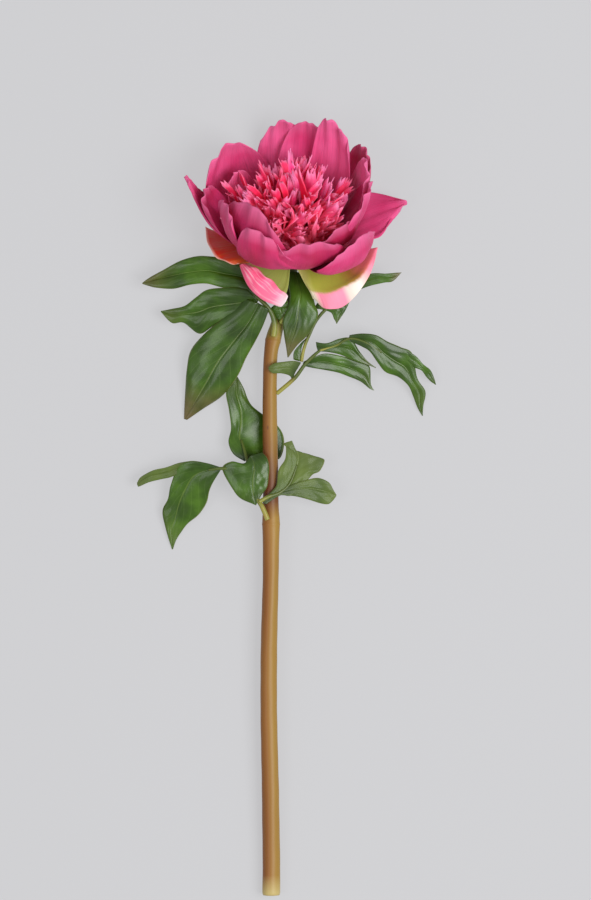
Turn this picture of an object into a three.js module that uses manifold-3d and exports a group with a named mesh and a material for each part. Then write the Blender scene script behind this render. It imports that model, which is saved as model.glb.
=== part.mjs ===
// A cut peony lying on its side, in millimetres: +Z is up, +X to the right of the stem and +Y from the
// cut end to the bloom.
import * as THREE from "three";
import { mergeVertices } from "three/addons/utils/BufferGeometryUtils.js";
import Module from "manifold-3d";

const wasm = await Module();
wasm.setup();

// Driving dimensions
const PETAL_THICK = 0.85;
const LEAF_THICK = 0.85;
const LEAST_HALF = 0.7;
const BLOOM_RISE = 43 * Math.PI / 180;
const CUP_DEPTH = 50;
const RIM_CENTRE = [3, 192.6, 52.6];
const LAYER_GAP = 1.1;
const CLAW_START = 0.12;
const BEND = 0.62;
const PETALOIDS = 66;
const GOLDEN_ANGLE = 2.399963;
const CREST_ROOT = { radius: 20, height: 24, fall: 11 };
const CREST_TIP = { radius: 37.5, height: 43, fall: 9, backRise: 8 };

// How finely each kind of surface is cut
const STEM_SIDES = 12;
const STALK_SIDES = 6;
const CUP_SIDES = 16;
const CORE_SIDES = 12;
const PETAL_CELLS = [5, 6];
const LOWER_CELLS = [6, 5];
const BLADE_CELLS_ACROSS = 4;
const PETALOID_CELLS = [2, 2];

// The space below the table's surface, and the volume under which a body is a loose scrap
const SPACE_BELOW = { width: 600, length: 800, depth: 60 };
const SCRAP_VOLUME = 1;

// Vectors
const plus = (a, b, k = 1) => [a[0] + k * b[0], a[1] + k * b[1], a[2] + k * b[2]];
const times = (a, k) => [a[0] * k, a[1] * k, a[2] * k];
const cross = (a, b) => [a[1] * b[2] - a[2] * b[1], a[2] * b[0] - a[0] * b[2], a[0] * b[1] - a[1] * b[0]];
const size = (a) => Math.hypot(a[0], a[1], a[2]);
const unit = (a) => times(a, 1 / size(a));
const mix = (a, b, k) => plus(times(a, 1 - k), b, k);
const AXIS = [0, Math.cos(BLOOM_RISE), Math.sin(BLOOM_RISE)];
const BACK = [0, Math.sin(BLOOM_RISE), -Math.cos(BLOOM_RISE)];
const RIGHT = [1, 0, 0];
const BASE = plus(RIM_CENTRE, AXIS, -CUP_DEPTH);

// A closed solid from its corner list and its triangles
function solid(corners, triangles) {
  const geometry = new THREE.BufferGeometry();
  geometry.setAttribute("position", new THREE.Float32BufferAttribute(corners.flat(), 3));
  geometry.setIndex(triangles.flat());
  const merged = mergeVertices(geometry, 1e-4);
  const mesh = new wasm.Mesh({
    numProp: 3,
    vertProperties: new Float32Array(merged.attributes.position.array),
    triVerts: new Uint32Array(merged.index.array),
  });
  return new wasm.Manifold(mesh);
}

// A grid of points, columns across and rows along
function grid(cells, at) {
  const [across, along] = cells;
  const points = [];
  for (let i = 0; i <= across; i += 1) {
    const column = [];
    for (let j = 0; j <= along; j += 1) column.push(at(i / across, j / along));
    points.push(column);
  }
  return points;
}

// A sheet of even thickness round a grid, cut into the same triangles on both faces
function sheet(points, thick) {
  const columns = points.length;
  const rows = points[0].length;
  const id = (i, j) => i * rows + j;
  const cellFaces = [];
  for (let i = 0; i < columns - 1; i += 1) {
    for (let j = 0; j < rows - 1; j += 1) {
      const corners = [[i, j], [i + 1, j], [i + 1, j + 1], [i, j + 1]];
      const p = corners.map(([a, b]) => points[a][b]);
      const first = size(plus(p[0], p[2], -1)) <= size(plus(p[1], p[3], -1));
      const [k, l, m, n] = corners.map(([a, b]) => id(a, b));
      if (first) cellFaces.push([k, l, m], [k, m, n]);
      else cellFaces.push([k, l, n], [l, m, n]);
    }
  }
  const flat = points.flat();
  const normals = flat.map(() => [0, 0, 0]);
  for (const [a, b, c] of cellFaces) {
    const normal = cross(plus(flat[b], flat[a], -1), plus(flat[c], flat[a], -1));
    for (const k of [a, b, c]) normals[k] = plus(normals[k], normal);
  }
  const top = flat.map((p, k) => plus(p, unit(normals[k]), thick / 2));
  const bottom = flat.map((p, k) => plus(p, unit(normals[k]), -thick / 2));
  const shift = flat.length;
  const triangles = cellFaces.flatMap(([a, b, c]) => [[a, b, c], [a + shift, c + shift, b + shift]]);
  const wall = (a, b) => triangles.push([a, a + shift, b], [b, a + shift, b + shift]);
  for (let i = 0; i < columns - 1; i += 1) {
    wall(id(i, 0), id(i + 1, 0));
    wall(id(i + 1, rows - 1), id(i, rows - 1));
  }
  for (let j = 0; j < rows - 1; j += 1) {
    wall(id(0, j + 1), id(0, j));
    wall(id(columns - 1, j), id(columns - 1, j + 1));
  }
  return solid([...top, ...bottom], triangles);
}

// A smooth curve through every row of a table, 0 at the first row and 1 at the last
function through(rows, v) {
  const last = rows.length - 1;
  const x = Math.min(Math.max(v, 0), 1) * last;
  const i = Math.min(Math.floor(x), last - 1);
  const f = x - i;
  const [a, b, c, d] = [rows[Math.max(i - 1, 0)], rows[i], rows[i + 1], rows[Math.min(i + 2, last)]];
  return b.map((_, k) => {
    const start = (c[k] - a[k]) / 2;
    const end = (d[k] - b[k]) / 2;
    return (2 * f ** 3 - 3 * f ** 2 + 1) * b[k] + (f ** 3 - 2 * f ** 2 + f) * start
      + (3 * f ** 2 - 2 * f ** 3) * c[k] + (f ** 3 - f ** 2) * end;
  });
}

// One petal of the cup. Its midline is a cubic of radius and height, and its outline closes as a half
// round. It is bent round a cylinder of radius hollow, and roll, wave, curl and lean move it off that.
function petal({
  turn, half, hollow, reach, roll = 0, wave = 1, phase = 0, point = 0, notch = 0, curl = 0, slant = 0,
  lean = 0, layer = 0,
}) {
  const angle = turn * Math.PI / 180;
  const [p0, p1, p2, p3] = reach;
  const out = plus(times(RIGHT, Math.cos(angle)), BACK, Math.sin(angle));
  const side = plus(times(RIGHT, -Math.sin(angle)), BACK, Math.cos(angle));
  return sheet(grid(PETAL_CELLS, (a, b) => {
    const s = 2 * a - 1;
    const t = CLAW_START + (1 - CLAW_START) * b;
    const q = Math.max(0, (t - BEND) / (1 - BEND));
    const rise = Math.sin(Math.PI / 2 * Math.min(1, t / BEND)) ** 1.15;
    const width = half * (0.2 + 0.8 * rise);
    const x = s * width * Math.sqrt(1 - q * q / 2) * (1 - point * q ** 1.5);
    const cut = notch * Math.exp(-(((s + 0.1) / 0.16) ** 2));
    const v = (Math.min(t, BEND) + (1 - BEND) * q * Math.sqrt(1 - s * s / 2) * (1 - cut)) * (1 - slant * s);
    const u = 1 - v;
    const place = (k) => u ** 3 * p0[k] + 3 * u * u * v * p1[k] + 3 * u * v * v * p2[k] + v ** 3 * p3[k];
    const slope = (k) => u * u * (p1[k] - p0[k]) + 2 * u * v * (p2[k] - p1[k]) + v * v * (p3[k] - p2[k]);
    const [dr, dh] = unit([slope(0), slope(1), 0]);
    const rim = Math.max(Math.abs(s) ** 3, q ** 1.5) * rise;
    const sideways = Math.abs(s) ** 3 * rise;
    const lift = roll * s * rise + wave * Math.sin(3 * Math.PI * s + phase) * rim
      + wave * 0.6 * Math.sin(9 * v + 2.3 * phase) * sideways + curl * sideways - LAYER_GAP * layer;
    const inward = hollow * (1 - Math.cos(x / hollow));
    const aside = hollow * Math.sin(x / hollow) + lean * v * v;
    const normal = plus(times(out, dh), AXIS, -dr);
    const centre = plus(plus(BASE, out, place(0)), AXIS, place(1));
    return plus(plus(centre, side, aside), normal, lift - inward);
  }), PETAL_THICK);
}

// A leaf blade between its left edge, its midrib and its right edge, arched between them
function blade({ rows, arch }) {
  const [left, mid, right] = [0, 1, 2].map((k) => rows.map((row) => row[k]));
  return sheet(grid([BLADE_CELLS_ACROSS, rows.length - 1], (a, v) => {
    const s = 2 * a - 1;
    const m = through(mid, v);
    const reach = plus(through(s < 0 ? left : right, v), m, -1);
    const wide = size(reach);
    const bow = arch * Math.min(1, wide / 12) * 4 * Math.abs(s) * (1 - Math.abs(s));
    const held = times(reach, Math.abs(s) * Math.max(1, LEAST_HALF / Math.max(wide, 1e-6)));
    return plus(plus(m, held), [0, 0, 1], bow);
  }), LEAF_THICK);
}

// A sheet through a table of points
function drape(rows) {
  return sheet(grid(LOWER_CELLS, (a, v) => {
    const line = rows[0].map((_, k) => through(rows.map((row) => row[k]), v));
    return through(line, a);
  }), PETAL_THICK);
}

// A round stalk along a smooth path
function stalk(path, sides, perSpan) {
  const steps = (path.length - 1) * perSpan;
  const stations = Array.from({ length: steps + 1 }, (_, k) => through(path, k / steps));
  const corners = [];
  stations.forEach(([x, y, z, radius], k) => {
    const next = stations[Math.min(k + 1, steps)];
    const previous = stations[Math.max(k - 1, 0)];
    const along = unit(plus(next, previous, -1));
    const level = unit(cross(along, [0, 0, 1]));
    const up = cross(level, along);
    for (let i = 0; i < sides; i += 1) {
      const turn = 2 * Math.PI * i / sides - Math.PI / 2;
      corners.push(plus(plus([x, y, z], level, radius * Math.cos(turn)), up, radius * Math.sin(turn)));
    }
  });
  const triangles = [];
  for (let k = 0; k < steps; k += 1) {
    for (let i = 0; i < sides; i += 1) {
      const a = k * sides + i;
      const b = k * sides + (i + 1) % sides;
      triangles.push([a, b + sides, b], [a, a + sides, b + sides]);
    }
  }
  const end = steps * sides;
  for (let i = 1; i < sides - 1; i += 1) {
    triangles.push([0, i, i + 1], [end, end + i + 1, end + i]);
  }
  return solid(corners, triangles);
}

// A turned body round the axis of the bloom, from a list of radius and height
function turned(profile, sides) {
  const corners = [plus(BASE, AXIS, profile[0][1])];
  for (const [radius, height] of profile.slice(1, -1)) {
    for (let i = 0; i < sides; i += 1) {
      const angle = 2 * Math.PI * i / sides;
      const ring = plus(times(RIGHT, radius * Math.cos(angle)), BACK, radius * Math.sin(angle));
      corners.push(plus(plus(BASE, ring), AXIS, height));
    }
  }
  corners.push(plus(BASE, AXIS, profile.at(-1)[1]));
  const rings = profile.length - 2;
  const last = corners.length - 1;
  const triangles = [];
  for (let i = 0; i < sides; i += 1) {
    const n = (i + 1) % sides;
    triangles.push([0, 1 + n, 1 + i]);
    for (let k = 0; k < rings - 1; k += 1) {
      const a = 1 + k * sides;
      triangles.push([a + i, a + sides + n, a + sides + i], [a + i, a + n, a + sides + n]);
    }
    const top = 1 + (rings - 1) * sides;
    triangles.push([top + i, top + n, last]);
  }
  return solid(corners, triangles);
}

// A repeatable draw between 0 and 1
function draw(i, k) {
  const x = Math.sin(i * 12.9898 + k * 78.233 + 4.1) * 43758.5453;
  return x - Math.floor(x);
}

// One narrow folded petaloid of the tuft, placed on a golden-angle spiral
function petaloid(i) {
  const rho = Math.sqrt((i + 0.5) / PETALOIDS);
  const angle = i * GOLDEN_ANGLE + (draw(i, 1) - 0.5) * 0.5;
  const out = plus(times(RIGHT, Math.cos(angle)), BACK, Math.sin(angle));
  const side = plus(times(RIGHT, -Math.sin(angle)), BACK, Math.cos(angle));
  const tipRadius = CREST_TIP.radius * rho ** 0.9 + 6 * (draw(i, 2) - 0.5);
  const tipHeight = CREST_TIP.height - CREST_TIP.fall * rho ** 4 + 10 * (draw(i, 4) - 0.5)
    + CREST_TIP.backRise * rho * Math.max(0, Math.sin(angle));
  const rootHeight = CREST_ROOT.height - CREST_ROOT.fall * rho ** 2;
  const root = plus(plus(BASE, out, CREST_ROOT.radius * rho), AXIS, rootHeight);
  const tip = plus(plus(plus(BASE, out, tipRadius), AXIS, tipHeight), side, 18 * (draw(i, 3) - 0.5));
  const sway = plus(plus(times(AXIS, 4 * rho), out, -3 * draw(i, 5)), side, 9 * (draw(i, 6) - 0.5));
  const knee = plus(mix(root, tip, 0.5), sway);
  const half = 2.3 + 2 * draw(i, 7);
  const fold = 0.3 + 0.95 * draw(i, 8);
  const along = unit(plus(tip, root, -1));
  const wide = unit(cross(along, out));
  const deep = cross(along, wide);
  return sheet(grid(PETALOID_CELLS, (a, v) => {
    const s = 2 * a - 1;
    const centre = plus(plus(times(root, (1 - v) ** 2), knee, 2 * (1 - v) * v), tip, v * v);
    const spin = (draw(i, 9) - 0.5) * 5 + (draw(i, 10) - 0.5) * 2.6 * v;
    const swell = 0.5 + 0.5 * Math.sin(Math.PI * Math.min(1, v / 0.8) / 2);
    const close = v > 0.8 ? Math.sqrt(1 - 0.8 * ((v - 0.8) / 0.2) ** 2) : 1;
    const w = half * swell * close;
    const x = s * w * Math.cos(fold);
    const y = Math.abs(s) ** 1.5 * w * Math.sin(fold);
    const sideStep = Math.cos(spin) * x - Math.sin(spin) * y;
    const deepStep = Math.sin(spin) * x + Math.cos(spin) * y;
    return plus(plus(centre, wide, sideStep), deep, deepStep);
  }), PETAL_THICK);
}

// The petals of the cup: the turn of each round the axis in degrees, its half width, the radius it is bent
// to, and its midline as radius and height
const GUARDS = {
  back_left: {
    turn: 98, half: 16, hollow: 34, reach: [[4, 1], [36, 0.5], [59, 20], [48, 61]],
    roll: 2.5, phase: 2.3, curl: 3, slant: 0.06, layer: 1,
  },
  back_mid: {
    turn: 77, half: 18, hollow: 44, reach: [[4, 1], [34, 0.5], [52, 26], [47, 63]],
    roll: 1, wave: 0.6, phase: 0.3, layer: 2,
  },
  back_right: {
    turn: 50, half: 16, hollow: 30, reach: [[4, 1], [33, 0.5], [52, 26], [44, 74]],
    roll: -1, wave: 0.8, phase: 1.3, notch: 0.12, slant: -0.05, layer: 3,
  },
  left_back: {
    turn: 142, half: 30, hollow: 46, reach: [[4, 1], [38, 0], [60, 17], [48, 57]],
    roll: 2, wave: 1.2, phase: 0.9, slant: -0.03,
  },
  left_inner: {
    turn: 146, half: 13, hollow: 26, reach: [[4, 1], [31, 0.5], [46, 20], [43, 42]],
    roll: 1, wave: 0.7, phase: 0.4, layer: 3,
  },
  left_tip: {
    turn: 175, half: 13, hollow: 60, reach: [[4, 1], [35, 3], [50, 21], [63, 53]],
    phase: 0.2, point: 0.75,
  },
  left_up: {
    turn: 180, half: 15, hollow: 40, reach: [[4, 1], [33, 4], [52, 25], [52.5, 46]],
    roll: 2, phase: 1.9, layer: 1,
  },
  left: {
    turn: 207, half: 18, hollow: 42, reach: [[4, 1], [32, 3], [53, 25], [46, 54]],
    roll: 2.5, phase: 2.9, slant: -0.04, layer: 2,
  },
  left_front: {
    turn: 230, half: 30, hollow: 46, reach: [[4, 1], [32, 0.5], [55, 23], [39, 59]],
    roll: 2.5, phase: 0.7, layer: 3,
  },
  front_left: {
    turn: 255, half: 20, hollow: 40, reach: [[4, 1], [30, 3], [55, 22], [44, 47]],
    roll: -1.5, wave: 1.4, phase: 0.5, slant: 0.1, lean: -5,
  },
  front_mid: {
    turn: 284, half: 25, hollow: 44, reach: [[4, 1], [30, 0.5], [53, 20], [48, 43]],
    roll: 1, phase: 1.5, layer: 2,
  },
  front_inner: {
    turn: 321, half: 23, hollow: 40, reach: [[4, 1], [28, 0.5], [49, 20], [44, 42]],
    roll: 2, phase: 2.5, layer: 3,
  },
  right_front: {
    turn: 324.6, half: 27.9, hollow: 34, reach: [[4, 1], [40, 0], [57.7, 4.1], [53.1, 36.8]],
    roll: 3, wave: 0.5, phase: 4.6, slant: -0.01, lean: -3.8, layer: 1,
  },
  right_tip: {
    turn: 24.8, half: 17, hollow: 70, reach: [[4, 2.8], [40, 0.2], [58, 9.5], [72, 17]],
    roll: -3, phase: 1.1, point: 0.9, slant: -0.12, lean: -9.5,
  },
  right: {
    turn: 353, half: 24, hollow: 40, reach: [[4, 1], [30, 0.5], [48, 22], [49, 52]],
    roll: 2, phase: 1.7, layer: 2,
  },
  right_wall: {
    turn: 18, half: 17, hollow: 34, reach: [[4, 1], [34, 0.5], [51, 24], [48, 57]],
    roll: 2, phase: 1.2, layer: 1,
  },
  right_back: {
    turn: 37, half: 16, hollow: 34, reach: [[4, 1], [36, 0.5], [56, 24], [55, 52]],
    roll: 2, phase: 2.7,
  },
};

// The outermost petals, each as rows of points from the claw to the free edge
const LOWER = {
  rolled: [
    [[-0.2, 152.9, 20], [0.7, 152.4, 20.5], [1.8, 152.1, 20.8], [3, 152, 20.9]],
    [[-4.1, 149.9, 22.4], [-2, 148.8, 23.6], [0.4, 148.1, 24.3], [2.6, 147.9, 24.6]],
    [[-14.4, 150, 26], [-9.6, 142.8, 28], [-3.6, 136.2, 29], [1.2, 132.6, 29]],
    [[-24, 147.6, 28.5], [-18, 138, 30], [-9.6, 129.6, 31], [-1.8, 124.8, 31]],
    [[-27.6, 145.8, 32], [-22.8, 133.8, 34], [-14.4, 125.4, 35], [-3, 120.6, 35]],
    [[-25.8, 146.4, 36], [-19.2, 138, 39], [-10.8, 129.6, 39], [-0.6, 123, 38]],
    [[-21.6, 145.8, 36.5], [-13.8, 140.4, 39], [-5.4, 133.2, 39], [1.2, 126.6, 38]],
  ],
  broad: [
    [[3.2, 152, 20.9], [4.3, 152.2, 20.7], [5.4, 152.5, 20.4], [6.3, 153, 19.8], [7, 153.7, 19]],
    [[3.4, 147.9, 24.6], [5.9, 148.2, 24.2], [8.3, 148.9, 23.5], [10.3, 150.1, 21.8], [11.8, 151.6, 19.8]],
    [[7.8, 141.6, 28], [13.8, 141.6, 29.5], [23.4, 142.8, 30], [33.6, 147, 27.9], [42.6, 155.1, 25.5]],
    [[11.4, 134.4, 32], [16.8, 133.2, 34], [26.4, 133.2, 35], [40.8, 141, 34.2], [49.2, 155.4, 31.4]],
    [[14.4, 129.6, 32.5], [19.8, 127.8, 35], [30, 128.4, 37], [45.6, 140.4, 37.2], [53.4, 156, 34.4]],
    [[16.2, 125.4, 30], [22.8, 120.6, 32], [33, 120, 33], [49.2, 137.4, 36.4], [54.9, 156.6, 35.2]],
  ],
  red: [
    [[-0.2, 152.9, 20], [-0.8, 153.4, 19.4], [-1.2, 153.9, 18.8], [-1.4, 154.4, 18.2]],
    [[-4.1, 149.9, 22.4], [-5.4, 151.1, 21.2], [-6.4, 152.2, 20], [-6.8, 153.5, 18.6]],
    [[-14.4, 147.6, 28], [-20.4, 152.4, 24.5], [-25.2, 158.4, 18.5], [-28.8, 165.6, 10.5]],
    [[-22.8, 147, 32], [-31.2, 150, 31], [-38.4, 157.2, 23.5], [-42, 166.8, 12.5]],
    [[-28.8, 146.4, 33], [-38.4, 148.2, 34], [-46.2, 156.6, 31], [-48.6, 168.6, 18.5]],
  ],
};

// The leaf blades, each as rows of left edge, midrib and right edge
const BLADES = {
  leaf_left: [
    { arch: 1.5, rows: [
      [[-14.4, 136.8, 21], [-14.4, 132, 20], [-16.8, 126.6, 22]],
      [[-24, 146.4, 22], [-25.2, 138.6, 20], [-28.8, 131.4, 21]],
      [[-34.8, 150, 22], [-37.2, 141, 19.5], [-38.4, 132.6, 20]],
      [[-44.4, 151.2, 21], [-46.8, 142.8, 18.5], [-48, 135, 19]],
      [[-53.4, 151.5, 20], [-56.4, 142.2, 17.5], [-57.6, 134.4, 18]],
      [[-63.6, 148.8, 18], [-66.6, 140.4, 16], [-67.8, 132, 16]],
      [[-73.8, 143.4, 16], [-76.8, 138, 14.5], [-78, 132.6, 15]],
      [[-81.6, 139.2, 14.5], [-82.8, 136.2, 14], [-82.8, 133.8, 14]],
      [[-86.7, 135.6, 13.8], [-86.7, 135.6, 13.6], [-86.7, 135, 13.8]],
    ] },
    { arch: 1.2, rows: [
      [[-25.2, 133.2, 21], [-16.8, 124.8, 21.5], [-21.6, 112.8, 19]],
      [[-36, 132.6, 20], [-31.2, 123, 19.5], [-32.4, 111.6, 17]],
      [[-47.4, 131.4, 18], [-44.4, 121.2, 16], [-43.2, 109.8, 14.5]],
      [[-54.6, 126.6, 15], [-52.8, 118.2, 14], [-52.2, 105, 11]],
      [[-61.2, 121.8, 13], [-61.2, 117, 12], [-61.8, 111.6, 10.5]],
      [[-69, 120, 11], [-69, 116.4, 10.5], [-69, 111.6, 10]],
      [[-75.6, 118.8, 9.8], [-75.6, 118.5, 9.6], [-75.6, 118.2, 9.8]],
    ] },
    { arch: 1.5, rows: [
      [[-24, 126, 21], [-16.2, 123, 22], [-10.2, 119.4, 22.5]],
      [[-38.4, 114, 17], [-23.4, 110.4, 19], [-13.8, 109.8, 19.5]],
      [[-49.8, 104.4, 13], [-33, 98.4, 16], [-18.6, 100.2, 16.5]],
      [[-57.6, 94.8, 9.5], [-41.4, 87.6, 13], [-24, 90.6, 14]],
      [[-60, 83.4, 7], [-48, 76.2, 9.5], [-29.4, 79.2, 11]],
      [[-60.9, 72, 4.5], [-53.4, 67.2, 6], [-38.4, 67.8, 7.5]],
      [[-61.5, 61.8, 2.2], [-57.9, 59.4, 2.8], [-50.4, 59.7, 3.4]],
      [[-61.8, 53.7, 0.6], [-61.2, 53.4, 0.6], [-60, 53.1, 0.7]],
    ] },
  ],
  leaf_front: [
    { arch: 1.0, rows: [
      [[0.9, 141.6, 16], [5.4, 142.2, 16.6], [11.4, 141, 16]],
      [[1.2, 135, 18], [7.2, 135.6, 19.2], [14.4, 134.4, 18.6]],
      [[2.4, 127.8, 20], [8.7, 128.4, 21.4], [16.2, 127.8, 20.6]],
      [[1.2, 121.2, 20.5], [7.8, 121.8, 22], [17.4, 122.4, 21]],
      [[-1.8, 112.8, 19], [6.6, 112.8, 20.5], [19.2, 115.8, 20]],
      [[-1.2, 104.4, 17.5], [4.2, 103.8, 18.5], [13.8, 105, 18]],
      [[0, 97.2, 16], [2.4, 97.2, 16.5], [6.6, 97.8, 16.5]],
      [[0.9, 90.9, 15], [1.2, 90.6, 15], [1.5, 90.9, 15]],
    ] },
    { arch: 0.5, rows: [
      [[-9.6, 120, 16.8], [-4.8, 124.2, 17.4], [0, 126.6, 18.4]],
      [[-7.8, 116.4, 16.8], [-3, 118.8, 17.6], [1.8, 121.8, 19.2]],
      [[-4.2, 112.8, 16.6], [-1.2, 114, 17.2], [2.4, 116.4, 18.4]],
    ] },
  ],
  leaf_right: [
    { arch: 0.6, rows: [
      [[3.6, 77.4, 13], [5.4, 81.6, 14], [9, 87.6, 15]],
      [[1.8, 79.8, 15], [2.4, 84, 17], [4.8, 88.5, 17]],
      [[-3, 81, 18], [-3, 84.3, 19], [-1.8, 87.9, 19]],
      [[-7.8, 81, 19.6], [-7.8, 84, 20], [-7.2, 87, 19.8]],
      [[-10.5, 83.1, 19.8], [-10.6, 84, 19.8], [-10.5, 84.9, 19.8]],
    ] },
    { arch: 0.8, rows: [
      [[10.8, 88.2, 14], [10.2, 87, 14], [10.8, 85.5, 14]],
      [[16.2, 90.6, 15], [15.6, 87.6, 13.5], [16.2, 84.3, 13]],
      [[23.4, 93, 14], [22.8, 88.2, 12], [23.4, 83.1, 11.5]],
      [[32.4, 91.8, 12], [31.8, 86.4, 10.5], [31.2, 81.6, 10]],
      [[40.8, 89.4, 10], [39.6, 84, 9], [37.8, 79.2, 8.5]],
      [[50.1, 85.8, 8], [47.4, 79.2, 7.2], [45, 76.2, 6.8]],
      [[51, 75, 6], [51, 73.2, 6], [50.4, 72, 6]],
      [[53.1, 70.9, 5.6], [53, 70.9, 5.6], [52.9, 70.9, 5.6]],
    ] },
    { arch: 0.8, rows: [
      [[18, 99.9, 16], [18.3, 97.2, 16], [19.2, 94.2, 16]],
      [[24.6, 99.2, 16.5], [24.6, 96.6, 16], [25.2, 93.9, 15.5]],
      [[32.4, 102, 16], [32.4, 97.8, 15], [32.4, 92.4, 14.5]],
      [[39, 102, 15], [39.6, 96, 14], [39.6, 89.4, 13.4]],
      [[44.4, 94.2, 13], [44.4, 91.2, 12.6], [44.4, 87.6, 12.4]],
      [[48.9, 88.8, 11.4], [49.2, 87.6, 11.2], [49.2, 86.1, 11.2]],
      [[54.2, 84.6, 10.2], [54.1, 84.5, 10.2], [54, 84.4, 10.2]],
    ] },
    { arch: 0.8, rows: [
      [[38.4, 104.1, 17], [37.8, 102.3, 16.5], [39.6, 99.9, 16.5]],
      [[45.6, 105, 18], [46.2, 101.4, 17], [45.6, 97.2, 16.5]],
      [[54, 104.1, 17.5], [52.8, 99, 16.5], [50.4, 94.2, 16]],
      [[61.2, 100.2, 16], [58.8, 93.6, 14.5], [55.2, 87.6, 14]],
      [[69, 96.9, 14], [65.4, 88.8, 12.5], [60, 81.9, 12]],
      [[76.2, 93, 12], [72, 84.6, 10], [67.8, 78.9, 9.6]],
      [[79.2, 78.6, 7.6], [76.5, 76.8, 7.4], [73.8, 73.8, 7]],
      [[84.3, 70.2, 4.2], [81, 69, 4], [76.8, 67.5, 4]],
      [[83.1, 61.8, 2], [81.3, 61.2, 2], [79.5, 60.6, 2]],
      [[82.7, 55.6, 0.6], [82.6, 55.6, 0.6], [82.4, 55.6, 0.6]],
    ] },
    { arch: 0.3, rows: [
      [[70.8, 95.7, 13.6], [72, 91.8, 12.4], [73.8, 86.4, 10.6]],
      [[78, 91.8, 12], [78, 88.2, 11.2], [78.3, 84.3, 10]],
      [[82.8, 86.7, 10], [82.2, 84.9, 9.6], [81.9, 82.8, 9]],
      [[87.3, 83.1, 7], [85.8, 81.3, 6.8], [84.6, 79.2, 6.6]],
      [[89.7, 78, 5], [88.8, 77.1, 5], [87.6, 76.2, 5]],
      [[90.6, 74.4, 3.8], [90.5, 74.4, 3.8], [90.4, 74.4, 3.8]],
    ] },
  ],
  leaf_under_bloom: [
    { arch: 0.5, rows: [
      [[41.4, 136.2, 18], [42.6, 133.8, 17], [44.1, 131.4, 16.5]],
      [[51, 141, 18.5], [50.4, 137.4, 17.5], [51, 133.8, 17]],
      [[60, 141.1, 18], [59.4, 138.6, 17.5], [58.8, 135.6, 17]],
      [[66, 141.6, 17.4], [65.1, 139.2, 17.2], [64.2, 136.5, 17]],
      [[69.5, 141.8, 17], [69.5, 141.7, 17], [69.4, 141.6, 17]],
    ] },
    { arch: 0.3, rows: [
      [[21, 124.8, 17], [18.6, 123, 17], [16.8, 120, 17]],
      [[31.2, 124.8, 18], [25.2, 122.4, 18], [21.6, 119.4, 17.5]],
      [[37.8, 124.8, 17], [31.2, 120, 17.5], [27, 117.6, 17]],
      [[36, 119.4, 16.5], [32.4, 117, 16.5], [28.8, 114, 16.5]],
      [[31.8, 112.8, 16], [30.9, 112.5, 16], [29.7, 112.5, 16]],
      [[30.6, 111, 15.8], [30.5, 111, 15.8], [30.4, 111, 15.8]],
    ] },
    { arch: 0.2, rows: [
      [[9.6, 99.6, 15], [10.8, 100.8, 15], [12, 102, 15]],
      [[6, 96, 14], [7.8, 96.6, 14.5], [9.6, 97.2, 14]],
      [[4.5, 93, 13.4], [6.6, 93, 14], [9, 93, 13.4]],
      [[4.5, 89.4, 13], [6.3, 88.8, 13.2], [8.4, 88.2, 13]],
    ] },
  ],
  leaf_lower: [
    { arch: 0.4, rows: [
      [[-14.4, 33.3, 19.5], [-21.6, 31.2, 20], [-25.2, 25.2, 19.5]],
      [[-11.4, 30, 19.8], [-19.2, 26.4, 21], [-28.2, 26.4, 20]],
      [[-10.2, 24.6, 20], [-19.2, 20.4, 21.5], [-33, 27.9, 19.5]],
      [[-10.5, 18.6, 20], [-19.8, 15, 21], [-38.4, 23.4, 18.5]],
      [[-11.4, 12.6, 20], [-19.8, 10.2, 20.5], [-31.8, 10.8, 18.5]],
      [[-14.7, 7.8, 19.6], [-19.2, 6.3, 19.8], [-27, 5.4, 18.8]],
      [[-18, 1.8, 19], [-18.3, 1.5, 19], [-19.2, 2.1, 19]],
    ] },
    { arch: 0.4, rows: [
      [[-24.9, 27.9, 12], [-23.7, 29.7, 13], [-22.2, 30, 13]],
      [[-31.8, 32.4, 10], [-25.8, 35.4, 11], [-14.4, 31.2, 5]],
      [[-34.8, 39.6, 9], [-28.5, 42.6, 9], [-4.2, 29.4, 2.6]],
      [[-33.3, 48, 8.5], [-27.6, 50.4, 7.5], [-1.2, 40.8, 2]],
      [[-34.5, 58.8, 8.5], [-27.6, 58.8, 6.5], [-6, 50.4, 2.2]],
      [[-36.3, 69.6, 8], [-30, 69, 6], [-20.4, 61.2, 4]],
      [[-33, 76.2, 6], [-30, 75, 5.4], [-25.8, 72.6, 5]],
      [[-30, 79, 5], [-29.6, 79.2, 5], [-29.2, 78.8, 5]],
    ] },
    { arch: 0.6, rows: [
      [[-39, 24.3, 18.2], [-39, 23.4, 18.2], [-39.3, 22.8, 18.2]],
      [[-48, 27, 17.6], [-47.4, 22.8, 16.4], [-43.8, 15.6, 15.6]],
      [[-57.6, 28.2, 16.6], [-55.8, 19.2, 14], [-46.2, 10.2, 12.8]],
      [[-64.8, 25.2, 14.6], [-61.2, 10.8, 11], [-48, 3, 9.6]],
      [[-69.6, 13.8, 10.6], [-64.8, 2.4, 7.6], [-52.8, -4.2, 6]],
      [[-71.4, 5.4, 7.6], [-67.2, -6.6, 4.6], [-59.4, -9.6, 3.6]],
      [[-74.7, -1.8, 5.4], [-69.3, -13.2, 3], [-63.6, -15, 2.4]],
      [[-73.2, -11.4, 3], [-69, -19.8, 1.6], [-66.6, -19.8, 1.5]],
      [[-69.1, -25.4, 0.7], [-68.8, -25.4, 0.7], [-68.5, -25.2, 0.7]],
    ] },
    { arch: 0.3, rows: [
      [[-57.6, 28.2, 16.4], [-60, 25.2, 15], [-61.8, 22.2, 14]],
      [[-64.8, 27, 14.6], [-67.2, 23.4, 13], [-69, 18.6, 12]],
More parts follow.
